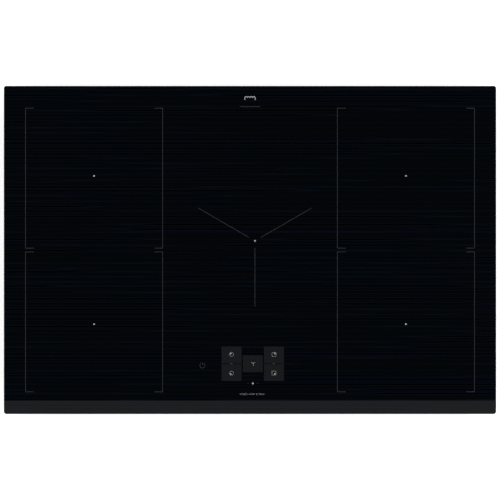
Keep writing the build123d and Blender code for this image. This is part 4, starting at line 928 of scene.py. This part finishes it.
coreLow, coreHigh = boxOf("choke_cores")
sectionWidth = (choke["coreOuter"] - choke["coreInner"] + choke["wire"]) / 2
sectionHeight = (coreHigh.z - coreLow.z + choke["wire"]) / 2
turnSpots = []
for middle in solidMiddles("choke_cores"):
    for side in (0, 180):
        for k in range(choke["turnsPerSide"]):
            heading = side + choke["sector"] * (k / (choke["turnsPerSide"] - 1) - 0.5) + 90
            away = (choke["coreInner"] + choke["coreOuter"]) / 2
            turn = math.radians(heading)
            spot = (middle.x + away * math.cos(turn), middle.y + away * math.sin(turn), middle.z)
            turnSpots.append((spot, (0, 0, heading)))
turnMesh = wireLoop(sectionWidth, sectionHeight, choke["corner"], choke["wire"])
chokeTurns = repeat("chokeTurns", turnMesh, turnSpots, "enamelled_copper")
finishPiece(chokeTurns, "casing", "enamelled_copper", ["choke_windings"])
print("choke turns:", len(turnSpots))


# fan wheels

wheel = {
    "blades": 24,
    "bladeThick": 0.9,
    "bladeInner": 33.0,
    "bladeRadius": 9.0,
    "bladeArc": 38,        # degrees on both sides of the blade's middle
    "bladeDrop": 7.5,      # from the arc's centre to the blade's place
    "bladeLean": 24,       # degrees
    "steps": 72,
    "outer": 44.0,
    "hub": 19.0,
    "skin": 1.5,
    "ring": 1.2,
    "shaft": 1.5,
    "boss": 3.5,
}


def makeWheel(side, hand):
    nodeName = "fan_impeller_" + side
    low, high = boxOf(nodeName)
    x, y = (low.x + high.x) / 2, (low.y + high.y) / 2
    skin, tall = wheel["skin"], high.z - low.z
    # cup over the motor and back plate in one turned shell; the boss takes the shaft
    shaft, boss, hub, outer = wheel["shaft"], wheel["boss"], wheel["hub"], wheel["outer"]
    shell = lathe("wheelShell", [
        (shaft, skin), (shaft, 2 * skin), (boss, 2 * skin), (boss + 0.5, skin),
        (hub - skin - 0.6, skin), (hub - skin, skin + 0.6), (hub - skin, tall),
        (outer - 0.3, tall), (outer, tall - 0.3), (outer, tall - skin),
        (hub + 1.2, tall - skin), (hub, tall - skin - 1.2), (hub, 0.8), (hub - 0.8, 0),
        (boss + 1.5, 0), (shaft, 0.4)], wheel["steps"], closed=True)
    shell.transform(Matrix.Translation(Vector((x, y, low.z)) * mm))
    plate = addItem("fanWheel_" + side, shell)
    finishPiece(plate, "fan_" + side, slotOf[nodeName], [nodeName])
    edgeRing = lathe("wheelRing", [
        (outer - wheel["ring"], 0.0), (outer - 0.2, 0.0), (outer, 0.2),
        (outer, skin), (outer - wheel["ring"], skin)], wheel["steps"], closed=True)
    edgeRing.transform(Matrix.Translation(Vector((x, y, low.z)) * mm))
    finishPiece(addItem("fanRing_" + side, edgeRing), "fan_" + side, slotOf[nodeName], [nodeName])
    # a forward-curved blade: a short arc, the same for each of the copies
    span = outer - wheel["bladeInner"]
    start, end = 90 - wheel["bladeArc"], 90 + wheel["bladeArc"]
    middleY = -wheel["bladeDrop"] * hand
    curve = arcBand(0, middleY, wheel["bladeRadius"], wheel["bladeThick"], start, end, 10)
    blade = flatPrint("blade", [curve], 0.2, tall - skin + 0.3)
    away = wheel["bladeInner"] + span / 2
    bladeSpots = []
    for k in range(wheel["blades"]):
        heading = 360 * k / wheel["blades"]
        turn = math.radians(heading)
        spot = (x + away * math.cos(turn), y + away * math.sin(turn), low.z)
        bladeSpots.append((spot, (0, 0, heading + hand * wheel["bladeLean"])))
    blades = repeat("fanBlades_" + side, blade, bladeSpots, slotOf[nodeName])
    finishPiece(blades, "fan_" + side, slotOf[nodeName], [nodeName])


makeWheel("left", -1)
makeWheel("right", 1)
print("fan wheels ready")


# floor, light and camera

studio = {
    "floorSize": 24.0,
    "floorColor": "#f2f2f2",
    "floorGlow": 0.56,
    "skyPower": 3.2,
    # angle from straight up, in degrees, and how bright the soft ceiling is there:
    # dark overhead, so that the glass mirrors nothing, then a faint rim for the bevel and a bright ring
    "sky": [(0, 0.002), (9, 0.003), (12.5, 0.077), (17, 0.086), (26, 0.42), (50, 0.46), (62, 0.09),
            (80, 0.09), (86, 0.28), (90, 0.32)],
    "keySide": (0.5, -0.15, 0.0),   # the right and the front are a little brighter
    "lens": 200.0,
    "sensor": 36.0,
    "frameWidth": 0.792,   # width seen in the plane of the glass, in metres
}
floorMesh = bpy.data.meshes.new("studioFloor")
reach = studio["floorSize"] / 2
floorCorners = [(-reach, -reach, 0), (reach, -reach, 0), (reach, reach, 0), (-reach, reach, 0)]
floorMesh.from_pydata(floorCorners, [], [(0, 1, 2, 3)])
floor = addItem("studioFloor", floorMesh)
floorPaper, tree, shader, place = startMaterial("whitePaperFloor", 0.9)
shader.inputs["Base Color"].default_value = linear(studio["floorColor"])
shader.inputs["Emission Color"].default_value = linear("#ffffff")
shader.inputs["Emission Strength"].default_value = studio["floorGlow"]
floorMesh.materials.append(floorPaper)

world = bpy.data.worlds.new("softStudio")
world.use_nodes = True
bpy.context.scene.world = world
tree = world.node_tree
tree.nodes.clear()
sky = addNode(tree, "ShaderNodeTexCoord")
split = addNode(tree, "ShaderNodeSeparateXYZ", links={"Vector": sky.outputs["Generated"]})
angle = addNode(tree, "ShaderNodeMath", settings={"operation": "ARCCOSINE"}, links={0: split.outputs["Z"]})
part = addNode(
    tree, "ShaderNodeMapRange", values={"From Min": 0.0, "From Max": math.pi / 2},
    links={"Value": angle.outputs["Value"]}
)
glow = addNode(tree, "ShaderNodeValToRGB", links={"Fac": part.outputs["Result"]})
ramp = glow.color_ramp
while len(ramp.elements) < len(studio["sky"]):
    ramp.elements.new(0.5)
for element, (degrees, value) in zip(ramp.elements, studio["sky"]):
    element.position = degrees / 90
for element, (degrees, value) in zip(ramp.elements, studio["sky"]):
    element.color = (value, value, value, 1.0)
lean = addNode(
    tree, "ShaderNodeVectorMath", settings={"operation": "DOT_PRODUCT"}, values={1: studio["keySide"]},
    links={0: sky.outputs["Generated"]}
)
power = addNode(
    tree, "ShaderNodeMath", settings={"operation": "MULTIPLY_ADD"},
    values={1: studio["skyPower"], 2: studio["skyPower"]},
    links={0: lean.outputs["Value"]}
)
back = addNode(
    tree, "ShaderNodeBackground", links={"Color": glow.outputs["Color"], "Strength": power.outputs["Value"]}
)
addNode(tree, "ShaderNodeOutputWorld", links={"Surface": back.outputs["Background"]})

cameraData = bpy.data.cameras.new("camera")
cameraData.lens = studio["lens"]
cameraData.sensor_width = studio["sensor"]
cameraData.clip_end = 100.0
camera = addItem("camera", cameraData)
camera.location = (0.0, 0.0, glassTop * mm + studio["frameWidth"] * studio["lens"] / studio["sensor"])
bpy.context.scene.camera = camera
bpy.context.scene.view_settings.view_transform = "Standard"
print("studio ready")
